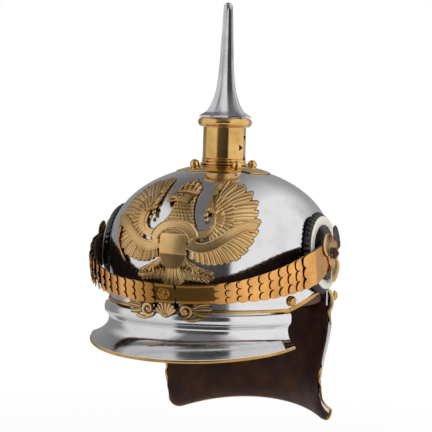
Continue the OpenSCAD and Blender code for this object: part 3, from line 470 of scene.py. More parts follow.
MAT.update({
    # Lacquered tin of the cockade's cup.
    "cockade_black": paint("black_lacquer", "#151516", 0.2),
    # Silver bronze paint, brushed on the ring.
    "cockade_silver": paint("silver_paint", "#D9D4C8", 0.42, 0.35),
    # Steel screw heads, browned by heat and oil.
    "knob_dark": metal("browned_steel", "#4A3A30", "#2C221C", 0.3, 0.06, 0.05, 0.2),
    # Vegetable-tanned leather: black-brown backing, red-brown lacquered lining, tan sweatband.
    "strap_leather": hide("strap_leather", "#241712", "#35241B", 0.55, 0.9, 0.12),
    "lining_leather": hide("lining_leather", "#2C120C", "#46260F", 0.55, 1.1, 0.1),
    "liner_leather": hide("liner_leather", "#4A3022", "#5E4230", 0.6, 0.8, 0.1),
})
print("finishes", sorted(MAT))

# %% [markdown]
# ## Setting a piece in place
# `done` is the last step for every piece: smooth shading with real corners kept, its finish, the
# moving body it rides on, and the node of the solid model that it stands for. `both_sides` does
# it for a piece of the wearer's left and for its mirrored twin. A few inner pieces, and the
# leather, look right as the solid model has them, so they only get their finish.

# %% Finishing a piece
def finish(obj, slot):
    obj.data.materials.clear()
    obj.data.materials.append(MAT[slot])


def done(obj, slot, stands_for, angle=38):
    only(obj)
    bpy.ops.object.shade_smooth_by_angle(angle=math.radians(angle))
    finish(obj, slot)
    body = body_of(nodes[stands_for])[0]
    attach(obj, body)
    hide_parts(stands_for)
    print(f"{obj.name}: {len(obj.data.polygons)} faces on {body}")


def both_sides(obj, slot, left_node, angle=38):
    done(mirrored(obj, obj.name.replace("left", "right")), slot, left_node.replace("left", "right"), angle)
    done(obj, slot, left_node, angle)


KEPT = {
    "bright_steel": ["left_post", "right_post", "post_nuts", "eagle_nuts"],
    "spike_brass": ["spike_socket"],
    "trim_brass": ["eagle_posts"],
    "strap_leather": [
        "left_end_leather", "right_end_leather", "left_rear_leather", "right_rear_leather",
        "left_front_leather", "right_front_leather"],
    "liner_leather": ["sweatband", "crown_tongues"],
}
for slot_name, names in KEPT.items():
    for kept in names:
        finish(nodes[kept], slot_name)
print("kept as modelled:", sum(len(names) for names in KEPT.values()), "pieces")

# %% [markdown]
# ## Skull
# The real skull is pressed from one sheet, drawn up over a form and planished smooth. The sheet
# is laid in columns from its lower edge, which arches over each ear, up to the air vent hidden
# under the spike's base.

# %% Lower edge of the skull
ARCH_FRONT, ARCH_REAR = -HALF_L * cos(PEAK_END) - 1, HALF_L * cos(GUARD_TOP) + 1
ARCH = [
    (ARCH_FRONT, 0), (ARCH_FRONT * 0.85, 0.16 * ARCH_H), (ARCH_FRONT * 0.5, 0.56 * ARCH_H),
    (-10, 0.9 * ARCH_H), (10, ARCH_H), (ARCH_REAR, ARCH_H - 1), (ARCH_REAR + 20, 0)]


def arch_z(y):
    return through(ARCH, y)


VENT_R = 13.0


def skull_edge(a):
    y = -HALF_L * 0.985 * cos(a)
    if y < ARCH_FRONT:
        return -6.5
    if y < ARCH_REAR:
        return arch_z(y)
    if y < ARCH_REAR + 8:
        return mix(arch_z(ARCH_REAR), 4, (y - ARCH_REAR) / 8)
    return mix(4, -2, clamp((y - ARCH_REAR - 8) / 3))


def skull_column(a):
    low = skull_edge(a)
    wall = [plan(a, z) for z in spaced(low, WALL, 14)[:-1]]
    top = math.degrees(math.acos(VENT_R / HALF_W))
    dome = [Vector((HALF_W * cos(e) * sin(a), -HALF_L * cos(e) * cos(a), WALL + DOME * sin(e)))
            for e in spaced(0, top, 44)]
    return wall + dome

# %% Press the skull
skull = sheet("skull_sheet", [skull_column(a * 360 / 288) for a in range(288)], ring=True)
done(walled(skull, SHEET), "steel", "skull")

# %% [markdown]
# ## Peak
# The peak starts with an upright band that hugs the brow, steps in to a shallow cove, and then
# flares out as a hollow shade. It is raised over stakes, so each line runs the whole way round.

# %% Section of the peak
def rim(a):
    t = a * RIM_SPREAD / PEAK_END
    fall = (RIM_FRONT - RIM_END) / (1 - cos(RIM_SPREAD))
    mid = -(HALF_L + RIM_REACH - RIM_R)
    return Vector((RIM_R * sin(t), mid - RIM_R * cos(t), -RIM_FRONT + fall * (1 - cos(t))))


BAND_SIDE = TOP_OUT + 0.75 * BAND_OUT
BAND = [(0, TOP_OUT), (0.16, BAND_SIDE), (0.5, TOP_OUT + BAND_OUT), (0.88, BAND_SIDE), (1.06, TOP_OUT - 0.1)]
COVE_TOP, COVE_FOOT = -BAND_H - 1.8, -BAND_H - STEP_H


def peak_rows(a):
    rows = [plan(a, -BAND_H * u, through(BAND, u)) for u in spaced(0, 1.06, 14)]
    for u in spaced(0, 1, 7)[1:]:
        rows.append(plan(a, mix(COVE_TOP, COVE_FOOT, u), mix(0.5, TOP_OUT - 1.2, u) - 0.585 * sin(180 * u)))
    foot, edge = plan(a, COVE_FOOT, TOP_OUT - 1.2), rim(a)
    pull = Vector((mix(foot.x, edge.x, 0.16), mix(foot.y, edge.y, 0.16), mix(foot.z, edge.z, 0.7)))
    for t in spaced(0, 1, 18)[1:]:
        rows.append((1 - t) ** 2 * foot + 2 * t * (1 - t) * pull + t * t * edge)
    return rows

# %% Raise the peak
PEAK = [peak_rows(a) for a in spaced(-PEAK_END, PEAK_END, 120)]
done(walled(sheet("peak_sheet", PEAK), SHEET), "steel", "visor", angle=24)

# %% [markdown]
# ## Folded brass edging
# A brass strip is folded over the cut edge of the sheet and hammered tight. Its section is a
# narrow loop; it is drawn along the border of the net that the sheet itself was laid on.

# %% Border of a net
def net_normal(net, i, j):
    a = net[min(i + 1, len(net) - 1)][j] - net[max(i - 1, 0)][j]
    b = net[i][min(j + 1, len(net[0]) - 1)] - net[i][max(j - 1, 0)]
    return b.cross(a).normalized()


def border(net):
    n, m = len(net) - 1, len(net[0]) - 1
    spots = [(0, j) for j in range(m)] + [(i, m) for i in range(n + 1)] + [(n, j) for j in reversed(range(m))]
    out = []
    for i, j in spots:
        side = (net[1][j] - net[0][j]) if i == 0 else (net[n - 1][j] - net[n][j]) if i == n else Vector()
        up = (net[i][m - 1] - net[i][m]) if j == m else Vector()
        into = (side.normalized() + up.normalized()).normalized()
        normal = net_normal(net, i, j)
        out.append((net[i][j] - normal * SHEET / 2, into, normal))
    return out


EDGE_H = SHEET / 2 + 0.3 + 0.85
FOLD = [(2.6, EDGE_H - 0.35), (2.1, EDGE_H), (0.3, EDGE_H), (-0.6, 0.75 * EDGE_H), (-1.05, 0.3 * EDGE_H)]
FOLD += [(u, -v) for u, v in reversed(FOLD)]


def edging(name, net, deep, high):
    middle = len(net) // 2
    facing = -1 if net_normal(net, middle, len(net[0]) // 2).dot(face_out(net[middle][0])) < 0 else 1
    section = [(deep * u, high * v) for u, v in FOLD]
    return sweep(name, [(p, into, facing * n) for p, into, n in border(net)], section)


done(edging("peak_edging", PEAK, 1, 0.8), "trim_brass", "visor_trim")

# %% Rail over the joint
rail_section = [(0, 0.2), (1.0, 0.2), (1.5, 0.8), (1.5, 2.5), (1.0, 3.2), (0, 3.2)]
rail_stop = PEAK_END + 0.5
rail_rows = [[plan(a, z, SEAT + u) for u, z in rail_section] for a in spaced(-rail_stop, rail_stop, 100)]
done(sheet("front_rail", rail_rows, tube=True, cap=True), "trim_brass", "front_rail")

# %% [markdown]
# ## Neck guard
# The guard is a second sheet, riveted over the skull's foot at the back. A raised band runs
# along its top, it hugs the neck below that, and its foot flares out with rounded corners.

# %% Net of the neck guard
GUARD_BAND, BAND_EDGE = TOP_OUT + BAND_OUT + 0.4, TOP_OUT + 0.8 * BAND_OUT
GUARD_OUT = [
    (0, TOP_OUT), (0.03, BAND_EDGE), (0.06, GUARD_BAND), (0.12, GUARD_BAND), (0.15, BAND_EDGE),
    (0.175, TOP_OUT + 0.7), (0.25, TOP_OUT + 1.5), (0.4, TOP_OUT + 1.2), (0.6, TOP_OUT - 0.5),
    (0.75, TOP_OUT - 1.8), (0.88, TOP_OUT + 0.06 * FLARE), (0.95, TOP_OUT + 0.42 * FLARE), (1, FLARE)]
GUARD_END = [
    (0, GUARD_TOP), (0.15, GUARD_TOP - 8), (0.35, GUARD_TOP - 16), (0.6, GUARD_TOP - 24),
    (0.8, GUARD_FOOT + 7), (0.93, GUARD_FOOT + 3), (1, GUARD_FOOT)]


def guard(s, v):
    top = 8 + (ARCH_H - 9.5) * s**4
    corner = half_round(max(abs(s) - 0.86, 0) / 0.14)
    foot = -GUARD_DROP - CORNER_DROP * s * s + CORNER_R * (1 - corner)
    return plan(180 - s * through(GUARD_END, v), mix(top, foot, v), through(GUARD_OUT, v))


spread = [mix(cos(180 * t), 1 - 2 * t, 0.3) for t in spaced(0, 1, 128)]
GUARD = [[guard(s, v) for v in spaced(0, 1, 60)] for s in spread]
done(walled(sheet("neck_guard_sheet", GUARD), SHEET), "steel", "neck_guard", angle=30)
done(edging("neck_guard_edging", GUARD, 0.55, 0.62), "trim_brass", "neck_guard_trim")

# %% [markdown]
# ## Linings
# Thin leather is glued inside the peak and the guard. It stops short of the brass edging, with
# its raw edge rounded over.

# %% Leather inside the sheets
LINING, LINING_DEPTH = 0.9, 2.0


def lining(name, net, rows, columns):
    patch = [[net[i][j] - net_normal(net, i, j) * LINING_DEPTH for j in columns] for i in rows]
    return eased(apply_modifier(sheet(name, patch), "SOLIDIFY", thickness=LINING * MM, offset=0))


done(lining("peak_lining", PEAK, range(8, 113), range(24, 39)), "lining_leather", "visor_lining")
done(lining("neck_guard_lining", GUARD, range(2, 127), range(4, 60)), "lining_leather", "neck_guard_lining")

# %% [markdown]
# ## Edging over the ears
# The skull's own edge gets the same folded strip, from the end of the peak to the guard.

# %% Arch edging
def arch_stations(side):
    out = []
    for y in spaced(ARCH_FRONT + 4.5, ARCH_REAR - 0.2, 60):
        spots = []
        for at in (y, y + 0.5):
            z = arch_z(at)
            half_w, half_l = HALF_W * share(z) - SHEET / 2, HALF_L * share(z) - SHEET / 2
            spots.append(Vector((side * half_w * math.sqrt(1 - (at / half_l) ** 2), at, z)))
        normal = Vector((spots[0].x / HALF_W**2, spots[0].y / HALF_L**2, 0)).normalized()
        into = normal.cross((spots[1] - spots[0]).normalized())
        out.append((spots[0], into if into.z > 0 else -into, normal))
    return out


arches = [sweep(f"arch_{side}", arch_stations(side), FOLD) for side in (1, -1)]
done(joined("arch_edging", arches), "trim_brass", "arch_trims")

# %% [markdown]
# ## Rivets
# The side studs are low brass domes; the four on the crown are almost whole balls. Each is a
# ball from the primitives, cut flat where it sits.

# %% Studs
def stud(radius, centre, tall, place):
    """A ball with its centre above its seat, flattened to tall, cut off level and set in place."""
    deselect()
    bpy.ops.mesh.primitive_uv_sphere_add(
        segments=40, ring_count=24, radius=radius * MM, location=(0, 0, centre * MM))
    obj = bpy.context.object
    obj.scale = (1, 1, tall)
    freeze()
    cut = lambda: bpy.ops.mesh.bisect(plane_co=(0, 0, 0), plane_no=(0, 0, 1), clear_inner=True, use_fill=True)
    return placed(editing(obj, cut, mend), place)


def on_wall(a, z, out):
    normal = Vector((sin(a) / HALF_W, -cos(a) / HALF_L, 0)).normalized()
    return frame_on(plan(a, z) + normal * out, normal)


STUD_SEATS = ((61.8, 9.8, 0.3), (108.6, 7.5, 4.65))
side_studs = [stud(4.5, 0.6, 0.72, on_wall(side * a, z, out)) for side in (1, -1) for a, z, out in STUD_SEATS]
done(joined("side_studs", side_studs), "trim_brass", "side_studs")


def on_crown(x, y, out):
    h = math.sqrt(1 - (x / HALF_W) ** 2 - (y / HALF_L) ** 2)
    normal = Vector((x / HALF_W**2, y / HALF_L**2, h / DOME)).normalized()
    return frame_on(Vector((x, y, WALL + DOME * h)) + normal * out, normal, Vector((0, 1, 0)))


STUD_CIRCLE = 27.4
crown_studs = [
    stud(4.3, 1.9, 1.0, on_crown(STUD_CIRCLE * cos(q), STUD_CIRCLE * sin(q), 1.3))
    for q in (45, 135, 225, 315)]
done(joined("crown_studs", crown_studs), "spike_brass", "base_studs")

# %% [markdown]
# ## Base of the spike
# A cross of brass sheet with broad, rounded arms is bent over the crown. The corners between
# the arms are cut in a little, and it sweeps up to the foot of the neck like a skirt.

# %% Cross over the crown
def cross_reach(q):
    return 42.0 - 6.4 * hump(q % 90 - 45, 9)


def cross_rows(q):
    reach = cross_reach(q)
    rows = []
    for t in spaced(0, 1, 24):
        r = mix(17.5, reach, t)
        x, y = r * cos(q), r * sin(q)
        out = 0.85 - 0.3 * soft(0.7, 1, t)
        h = math.sqrt(1 - (x / (HALF_W + out)) ** 2 - (y / (HALF_L + out)) ** 2)
        lift = 1.5 * clamp((26 - r) / 8.5) ** 2
        rows.append(Vector((x, y, WALL + (DOME + out) * h + lift)))
    return rows


base = sheet("spike_base_plate", [cross_rows(q * 1.5) for q in range(240)], thick=0.7, ring=True)
done(eased(base), "spike_brass", "spike_base")

# %% [markdown]
# ## Neck and ring
# The neck is a turned tube with two fine beads at its foot. Four small triangles on each side
# let air out; they are punched with three-sided cutters. The ring on top is turned solid.

# %% Neck tube with vents
neck_profile = [
    (17.8, 0), (21, 0), (21, 0.7), (20.6, 1.2), (19.1, 1.3), (19.3, 2.3), (19.8, 2.7), (19.8, 3.3),
    (19.3, 3.8), (19.05, 4.2), (19.3, 4.8), (19.5, 5.2), (19.3, 5.6), (19.0, 6.0), (19.0, 32.4),
    (18.8, 33), (17.8, 33), (17.8, 0)]
neck = lathe("spike_neck", [(r, NECK_FOOT + z) for r, z in neck_profile], 120)
for side in (0, 180):
    for q, lift in ((0, 9), (90, 6.6), (180, 9), (270, 6.6)):
        deselect()
        bpy.ops.mesh.primitive_cylinder_add(vertices=3, radius=3.3 * MM, depth=20 * MM)
        punch = bpy.context.object
        middle = turned(side, "Z") @ Matrix.Translation((19, 0, NECK_FOOT + 0.46 * 33))
        vent = middle @ turned(q, "X") @ Matrix.Translation((0, 0, lift))
        placed(punch, vent @ turned(90, "Y") @ turned(-90, "Z"))
        apply_modifier(neck, "BOOLEAN", operation="DIFFERENCE", object=punch, solver="EXACT")
        bpy.data.objects.remove(punch)
done(neck, "spike_brass", "spike_neck", angle=30)

# %% Ring
deselect()
bpy.ops.mesh.primitive_torus_add(
    major_radius=19.9 * MM, minor_radius=RING_BEAD * MM, major_segments=120, minor_segments=32,
    location=(0, 0, RING_Z * MM))
bead = bpy.context.object
freeze()
web = lathe("ring_web", [(5.7, 161.1), (19, 161.1), (19, 163.3), (5.7, 163.3), (5.7, 161.1)])
done(joined("spike_ring_turned", [bead, web]), "spike_brass", "spike_ring")

# %% [markdown]
# ## Spike
# Six flat faces, each ground slightly hollow, sweep in from a thin hexagonal foot and run up to
# a small button. The corners between the faces stay crisp.

# %% Hollow-ground spike
SPIKE = [
    (0, 23.3), (0.012, 23.0), (0.05, 17.24), (0.128, 12.47), (0.256, 8.7), (0.453, 6.56), (0.64, 5.6),
    (0.837, 4.7), (0.955, 4.1), (0.985, 3.3), (1, 1.0)]


def spike_ring_points(u):
    r = through(SPIKE, u)
    hollow = 0.08 * (1 - 0.6 * u)
    row = []
    for k in range(72):
        q = 5.0 * k
        flat = cos(30) / cos((q + 90) % 60 - 30)
        round_off = mix(flat, 1.0, soft(0.93, 0.99, u))
        f = r * round_off * (1 - hollow * sin(3 * (q + 90)) ** 2)
        row.append(Vector((f * cos(q), f * sin(q), SPIKE_Z + u * SPIKE_H)))
    return row


levels = [0, 0.004, 0.011] + [0.013 + 0.942 * t**1.5 for t in spaced(0, 1, 60)] + [
    0.965, 0.975, 0.985, 0.99, 0.994, 0.997, 1]
spike = sheet("spike_forged", [spike_ring_points(u) for u in levels], tube=True, cap=True)
stem = lathe("stem", [(0, 142.9), (4.6, 142.9), (5, 143.4), (5, 166), (0, 166)])
done(joined("spike_forged", [spike, stem]), "bright_steel", "spike", angle=16)

# %% [markdown]
# ## Cockades
# Each cockade is a black cup, crimped into flutes round its rim so that it holds its shape, with
# a flat silver ring on its face. It leans a little up and forward on its post.

# %% Crimped cup
SIDE_TURN, LEAN, FLUTES = 4.0, 6.0, 44
FORWARD, OUTWARD = turned(-SIDE_TURN, "Z"), turned(90, "Y")
COCKADE = Matrix.Translation((HALF_W + 0.6, POST.y, POST.z)) @ FORWARD @ turned(-LEAN, "Y") @ OUTWARD
CUP = [(3.3, 0.2), (3.3, 1.5), (26, 1.5), (31.2, 1.45), (32.0, 1.0), (33.0, 0), (34.2, -1.6), (35.1, -3.4),
       (34.2, -3.4), (33.0, -1.6), (31.4, 0), (29, 0.2)]


def cup_row(q):
    crimp = 0.5 - 0.5 * cos(q * FLUTES)
    row = []
    for r, z in CUP:
        deep = clamp((r - 31.4) / 2.5)
        fold = r - deep * (1.35 * crimp - 0.5)
        row.append(Vector((fold * cos(q), fold * sin(q), z - 0.25 * deep * crimp)))
    return row


cup_steps = 12 * FLUTES
cup_rows = [cup_row(q * 360 / cup_steps) for q in range(cup_steps)]
cup = placed(sheet("left_cockade_cup", cup_rows, ring=True, tube=True), COCKADE)
both_sides(cup, "cockade_black", "left_cockade")

# %% Silver ring
ring_profile = [(24, 1.52), (24, 1.95), (24.3, 2.1), (31.2, 2.1), (31.5, 1.95), (31.5, 1.52), (24, 1.52)]
ring = placed(lathe("left_silver_ring", ring_profile, 128), COCKADE)
both_sides(ring, "cockade_silver", "left_cockade_ring")

# %% [markdown]
# ## Path of the chin scales
# The straps hang in a plane that dips from the posts to the front. In that plane they follow a
# full, rounded bend; a scale, a plate or a boss asks for its place by its angle from the front.

# %% Path of the straps
DIPPED = Matrix.Translation(POST) @ turned(DIP, "X")
STEP, LAP, END_EDGE, STRAP_NARROW, STRAP_WIDE = 4.6, 4.0, 60.7, 18.0, 30.6
REAR_SCALES = 5
REAR_EDGE = END_EDGE - REAR_SCALES * STEP


def path(a, out=0.0):
    def at(b):
        x, y = abs(sin(b)) / STRAP_W, abs(cos(b)) / STRAP_REACH
        r = (x**STRAP_FULL + y**STRAP_FULL) ** (-1 / STRAP_FULL)
        return Vector((r * sin(b), -r * cos(b), 0))
    run = at(a + 0.5) - at(a - 0.5)
    return at(a) + Vector((run.y, -run.x, 0)).normalized() * out


def path_out(a):
    return (path(a, 1) - path(a, 0)).normalized()


def arc(a, d):
    return math.degrees(d / path(a).length)


def width(a):
    return mix(STRAP_NARROW, STRAP_WIDE, clamp((abs(a) - 25) / 36) ** 0.85)


def lobes(v):
    """How far the edge draws back at v, -1 to 1 across: 0 at the tips of three lobes, 1 between."""
    return 1 - half_round(abs((v * 3 + 1) % 2 - 1))


print("straps pass the front at", path(0))

# %% [markdown]
# ## Scales
# Every scale is stamped from brass: crowned across its width, creased once, with three lobes on
# its free edge. Its root slides under the next scale's lobes. Wear has splayed the free edges
# on the wearer's right a little.

# %% One scale
def scale_form(tip, root, tall):
    """A lobed scale between its free edge and its root; both are (point, outward) pairs."""
    reach = root[0] - tip[0]
    length, lobe = reach.length, tall / 6
    rows = []
    for v in spaced(-1, 1, 36):
        start = lobe * lobes(v) / length
        row = []
        for u in (mix(start, 1, t**1.1) for t in spaced(0, 1, 26)):
            crown = 0.62 * (1 - v * v) + 0.6 * sin(180 * clamp(u / 0.8))
            crease = 0.12 * hump(v + 0.45, 0.1)
            lip = 0.22 * (1 - soft(0.0, 0.16, u - start))
            out = tip[1].lerp(root[1], u) * (crown + crease - lip)
            row.append(tip[0].lerp(root[0], u) + out + Vector((0, 0, v * tall / 2)))
        rows.append(row)

    # Painted shade: the scale is painted dark just before it runs under its neighbour's lobes, where that
    # neighbour's shadow falls.
    def clear_of_neighbour(p):
        hidden = 1 + (lobe * lobes(p.z / tall * 2) - LAP) / length
        return 1 - soft(hidden - 0.2, hidden - 0.06, (p - tip[0]).dot(reach.normalized()) / length)

    return walled(marked(sheet("scale", rows), clear_of_neighbour), SCALE)


def scale_row(name, first, count, splay=0.0):
    parts = []
    for k in range(1, count + 1):
        a = first - k * STEP
        b = a + arc(a, (path(a + STEP) - path(a)).length + LAP)
        tip_out = 2.5 + splay * soft(28, 46, a) * (1 - soft(52, 55, a))
        parts.append(scale_form((path(a, tip_out), path_out(a)), (path(b, 0.9), path_out(b)), width(a)))
    return placed(joined(name, parts), DIPPED)

# %% Stamp the rows
for side, count, splay in (("left", 4, 0.0), ("right", 7, 1.8)):
    rear = scale_row(f"{side}_rear_row", END_EDGE, REAR_SCALES, splay)
    front = scale_row(f"{side}_front_row", REAR_EDGE, count, splay)
    for row, node in ((rear, f"{side}_rear_scales"), (front, f"{side}_front_scales")):
        if side == "right":
            old, row = row, mirrored(row, row.name + "_set")
            bpy.data.objects.remove(old)
        done(row, "scale_brass", node, angle=32)

# %% [markdown]
# ## End scales and rosettes
# The last scale on each side is long and plain, lies flat over the cockade and carries a second
# lobed step. A three-leaved rosette, rimmed and hollowed, and a knob hold it on the post.

# %% End scale
BEND_Y = -38.2
END_AT = path(END_EDGE)
BEND_AT = Vector((STRAP_W + BEND_Y * math.tan(math.radians(SIDE_TURN)), BEND_Y, 0))
FLAT_OUT = Vector((cos(SIDE_TURN), -sin(SIDE_TURN), 0))


def end_path(d):
    """Point and outward direction d mm behind the free edge of the end scale."""
    run = BEND_AT - END_AT
    first = run.length
    lean = Vector((run.y, -run.x, 0)).normalized()
    flat = Vector((math.tan(math.radians(SIDE_TURN)), 1, 0)).normalized()
    t = soft(-12, 12, d - first)
    out = lean.lerp(FLAT_OUT, t).normalized()
    if d < first:
        return END_AT.lerp(BEND_AT, d / first), out
    return BEND_AT + flat * (d - first), out


END_LONG = 59.0
end_rows = []
for v in spaced(-1, 1, 40):
    start = 5 * lobes(v)
    stop = END_LONG - 12 * (1 - half_round(0.98 * v))
    row = []
    for d in spaced(start, stop, 60):
        point, out = end_path(d)
        step = 0.5 * soft(start + 11, start + 11.5, d)
        rise = mix(2.06, 0.3, soft(0, 14, d)) + step + 0.8
        taper = mix(1, 0.8, soft(20, 60, d))
        row.append(point + out * (rise + 0.35 * (1 - v * v)) + Vector((0, 0, v * 15 * taper)))
    end_rows.append(row)
end_scale = marked(sheet("left_end_scale_plate", end_rows), lambda p: 1.0)
both_sides(placed(walled(end_scale, SCALE), DIPPED), "scale_brass", "left_end_scale", angle=30)

# %% Rosette
# Leaves point down, up to the back and up to the front.
LEAVES, ROSETTE_R = (0, 132, 222), 26.0


def leaf_reach(q):
    """Outline of the three leaves: the farthest of a hub and three discs."""
    best = 0.46 * ROSETTE_R
    for leaf in LEAVES:
        d, r = 0.6 * ROSETTE_R, 0.4 * ROSETTE_R
        off = (q - leaf + 180) % 360 - 180
        hit = r * r - (d * sin(off)) ** 2
        if hit > 0 and abs(off) < 90:
            best = max(best, d * cos(off) + math.sqrt(hit))
    return best


def rosette_wave(r):
    """Height of the plate's middle line: it rises off the hub and falls towards the tips."""
    u = r / ROSETTE_R
    return 0.9 + 1.4 * soft(0.3, 0.6, u) * (1 - 0.75 * soft(0.6, 1.0, u))


def rosette_row(q):
    reach = leaf_reach(q)
    row = []
    for t in spaced(0, 1, 29):
        r = mix(3.2, reach, t)
        bead = 0.55 * hump(t - 0.93, 0.045)
        hollow = 0.5 * sin(180 * clamp((t - 0.25) / 0.6)) ** 2
        swirl = 0.22 * sin(3 * q + 420 * t) * soft(0.3, 0.5, t) * (1 - soft(0.75, 0.9, t))
        droop = 3.0 * max(cos(q - LEAVES[1]), 0) * soft(0.3, 1.0, r / ROSETTE_R)
        row.append(Vector((r * cos(q), r * sin(q), rosette_wave(r) + bead - hollow + swirl - droop)))
    return row


rosette = sheet("left_rosette_plate", [rosette_row(q) for q in range(360)], ring=True)
# The rosette's hollows are painted darker and its raised parts lighter, partly patina and partly painted
# shade.
walled(marked(rosette, lambda p: clamp(0.5 + 0.5 * (p.z - rosette_wave(p.xy.length)))), 0.7)
placed(rosette, DIPPED @ Matrix.Translation((105.9, 0, 0)) @ FORWARD @ OUTWARD)
both_sides(rosette, "gilt", "left_rosette", angle=40)

# %% Knob
knob_profile = [
    (0.01, 4.2), (1.2, 4.1), (1.9, 3.7), (2.4, 3.0), (3.6, 2.4), (4.6, 1.9), (5.2, 1.3), (5.3, 0.7),
    (5.1, 0.2), (4.6, 0), (3.1, 0), (3.1, 0.9), (0.01, 0.9)]
knob = placed(
    lathe("left_knob_turned", knob_profile, 48), Matrix.Translation((107.85, POST.y, POST.z)) @ OUTWARD)
both_sides(knob, "knob_dark", "left_knob")

# %% [markdown]
# ## Where the straps part
# Beyond the last scale each strap ends in a smooth brass plate. The wearer's left one carries a
# shell of turned ribs as its boss.

# %% End plates
HALF_PLATE, BORDER = 8.5, 0.84


def end_plate(name, count, parting):
    stop = REAR_EDGE - count * STEP + arc(20, 3.0)
    rows = []
    for v in spaced(-1, 1, 30):
        start = parting + math.copysign(0.15, parting) + arc(0, 3.2 * (1 - half_round(0.97 * v)))
        out = 1.05 + 0.5 * (1 - v * v) + 0.2 * hump(abs(v) - BORDER, 0.07)
        rows.append([path(a, out) + Vector((0, 0, v * HALF_PLATE)) for a in spaced(start, stop, 40)])
    # Painted reflection: the plate is painted dark for the dark surroundings it reflects, and its raised
    # border is painted lighter as a highlight.
    plate = marked(sheet(name, rows), lambda p: 0.1 + 0.6 * hump(abs(p.z / HALF_PLATE) - BORDER, 0.09))
    return placed(walled(plate, SCALE), DIPPED)


done(end_plate("left_parting_plate", 4, 3.4), "scale_brass", "left_end_plate", angle=30)
right_raw = end_plate("right_parting_raw", 7, -3.4)
right_plate = mirrored(right_raw, "right_parting_plate")
bpy.data.objects.remove(right_raw)

# %% Boss with turned ribs
BOSS_R, BOSS_AT = 5.8, -1.6


def boss_row(q):
    row = []
    for t in spaced(0, 1, 13):
        rib = 0.28 * sin(9 * q + 260 * t) * soft(0.15, 0.4, t) * (1 - soft(0.8, 1, t))
        height = 0.4 + 2.3 * half_round(t) + rib
        row.append(Vector((BOSS_R * t * cos(q), BOSS_R * t * sin(q), height)))
    return row


boss = sheet("boss", [boss_row(3 * q) for q in range(120)], ring=True)
# Painted shade: the boss is painted darker towards its foot and lighter towards its top.
marked(boss, lambda p: clamp(0.2 + 0.3 * p.z))
placed(boss, frame_on(DIPPED @ path(BOSS_AT, 1.3), DIPPED.to_3x3() @ path_out(BOSS_AT)))
done(joined("right_parting_plate", [right_plate, boss]), "scale_brass", "right_end_plate", angle=34)

# %% [markdown]
# ## Front plate
# The eagle was struck from thin brass between steel dies and gilded. It is drawn flat, as
# overlapping leaves with their heights, and then pressed onto the dome like the real plate.
# Drawing by formula keeps the two wings true to each other, which modelling by hand would not.

# %% Drawing in relief
STAMP = {"points": [], "faces": [], "relief": []}
SPAN = (-1, -0.93, -0.84, -0.72, -0.55, -0.35, -0.17, 0, 0.17, 0.35, 0.55, 0.72, 0.84, 0.93, 1)
UNDER = -0.1  # the rim of every leaf lies this far under the plate's own level


def lay(rows, side=1):
    """Adds a net of (x, z, height, painted shade) points to the stamping."""
    first, m = len(STAMP["points"]), len(rows[0])
    for row in rows:
        STAMP["points"] += [(side * x, z, h) for x, z, h, s in row]
        STAMP["relief"] += [s for x, z, h, s in row]
    for i in range(len(rows) - 1):
        for a in range(first + i * m, first + (i + 1) * m - 1):
            quad = (a, a + m, a + m + 1, a + 1)
            STAMP["faces"].append(quad if side > 0 else quad[::-1])


def struck(name, press, worn=1.0):
    """Presses the drawn leaves into one stamping of the plate's thickness and clears the bench."""
    obj = made(name, [press(x, z, h) for x, z, h in STAMP["points"]], faces=STAMP["faces"])
    # Each point's painted shade value, partly patina in the gilt; worn scales them all, and below 1 the whole
    # piece is painted darker.
    heights = iter(STAMP["relief"])
    marked(obj, lambda p: worn * next(heights))
    for drawn in STAMP.values():
        drawn.clear()
    editing(obj, lambda: bpy.ops.mesh.remove_doubles(threshold=0.03 * MM))
    return walled(obj, PLATE)


def curve(points, u):
    """Smooth run through points, u from 0 to 1."""
    n = len(points) - 1
    k = min(int(u * n), n - 1)
    t = u * n - k
    near = [points[max(0, min(n, k + i))] for i in (-1, 0, 1, 2)]
    return [0.5 * (2 * b + (c - a) * t + (2 * a - 5 * b + 4 * c - d) * t * t + (3 * b - a - 3 * c + d) * t**3)
            for a, b, c, d in zip(*near)]


def station(spine, u, step):
    """Place on a spine and the unit step across it, to the left of its run."""
    (x, z), (ax, az), (bx, bz) = (curve(spine, clamp(at)) for at in (u, u - step, u + step))
    run = math.hypot(bx - ax, bz - az)
    return x, z, -(bz - az) / run, (bx - ax) / run


def leaf(spine, wide, top, side=1, root=0.5, ridges=0, tilt=0.0, long=14, blunt=0.82, dark=0.0):
    """A raised blade along a spine: narrow root, full width, rounded tip, ridges along it."""
    rows = []
    for u in (1 - t**1.5 for t in spaced(1, 0, long)):
        x, z, across_x, across_z = station(spine, u, 0.02)
        end = math.sqrt(max(1 - (max(u - blunt, 0) / (1 - blunt)) ** 2, 0.001))
        half = wide * mix(root, 1, soft(0, 0.7, u)) * end
        row = []
        for v in SPAN:
            edge = soft(0, 0.14, 1 - abs(v)) * soft(0, 0.35, end)
            line = cos(180 * ridges * v) if ridges else 0
            h = UNDER + (top - UNDER + 0.22 * line + tilt * v + 0.3 * (1 - v * v)) * edge
            # Painted shade and highlight: ridges lighter than the lines between them and the side that the
            # tilt lowers darker; the edges and root, where the leaf meets the ground, darker as well, partly
            # patina and partly painted shade; dark lowers the whole leaf.
            shade = (0.55 + 0.38 * line + 0.25 * tilt * v - dark) * edge * soft(0, 0.5, u + 0.15)
            row.append((x + across_x * half * v, z + across_z * half * v, h, clamp(shade)))
        rows.append(row)
    lay(rows, side)


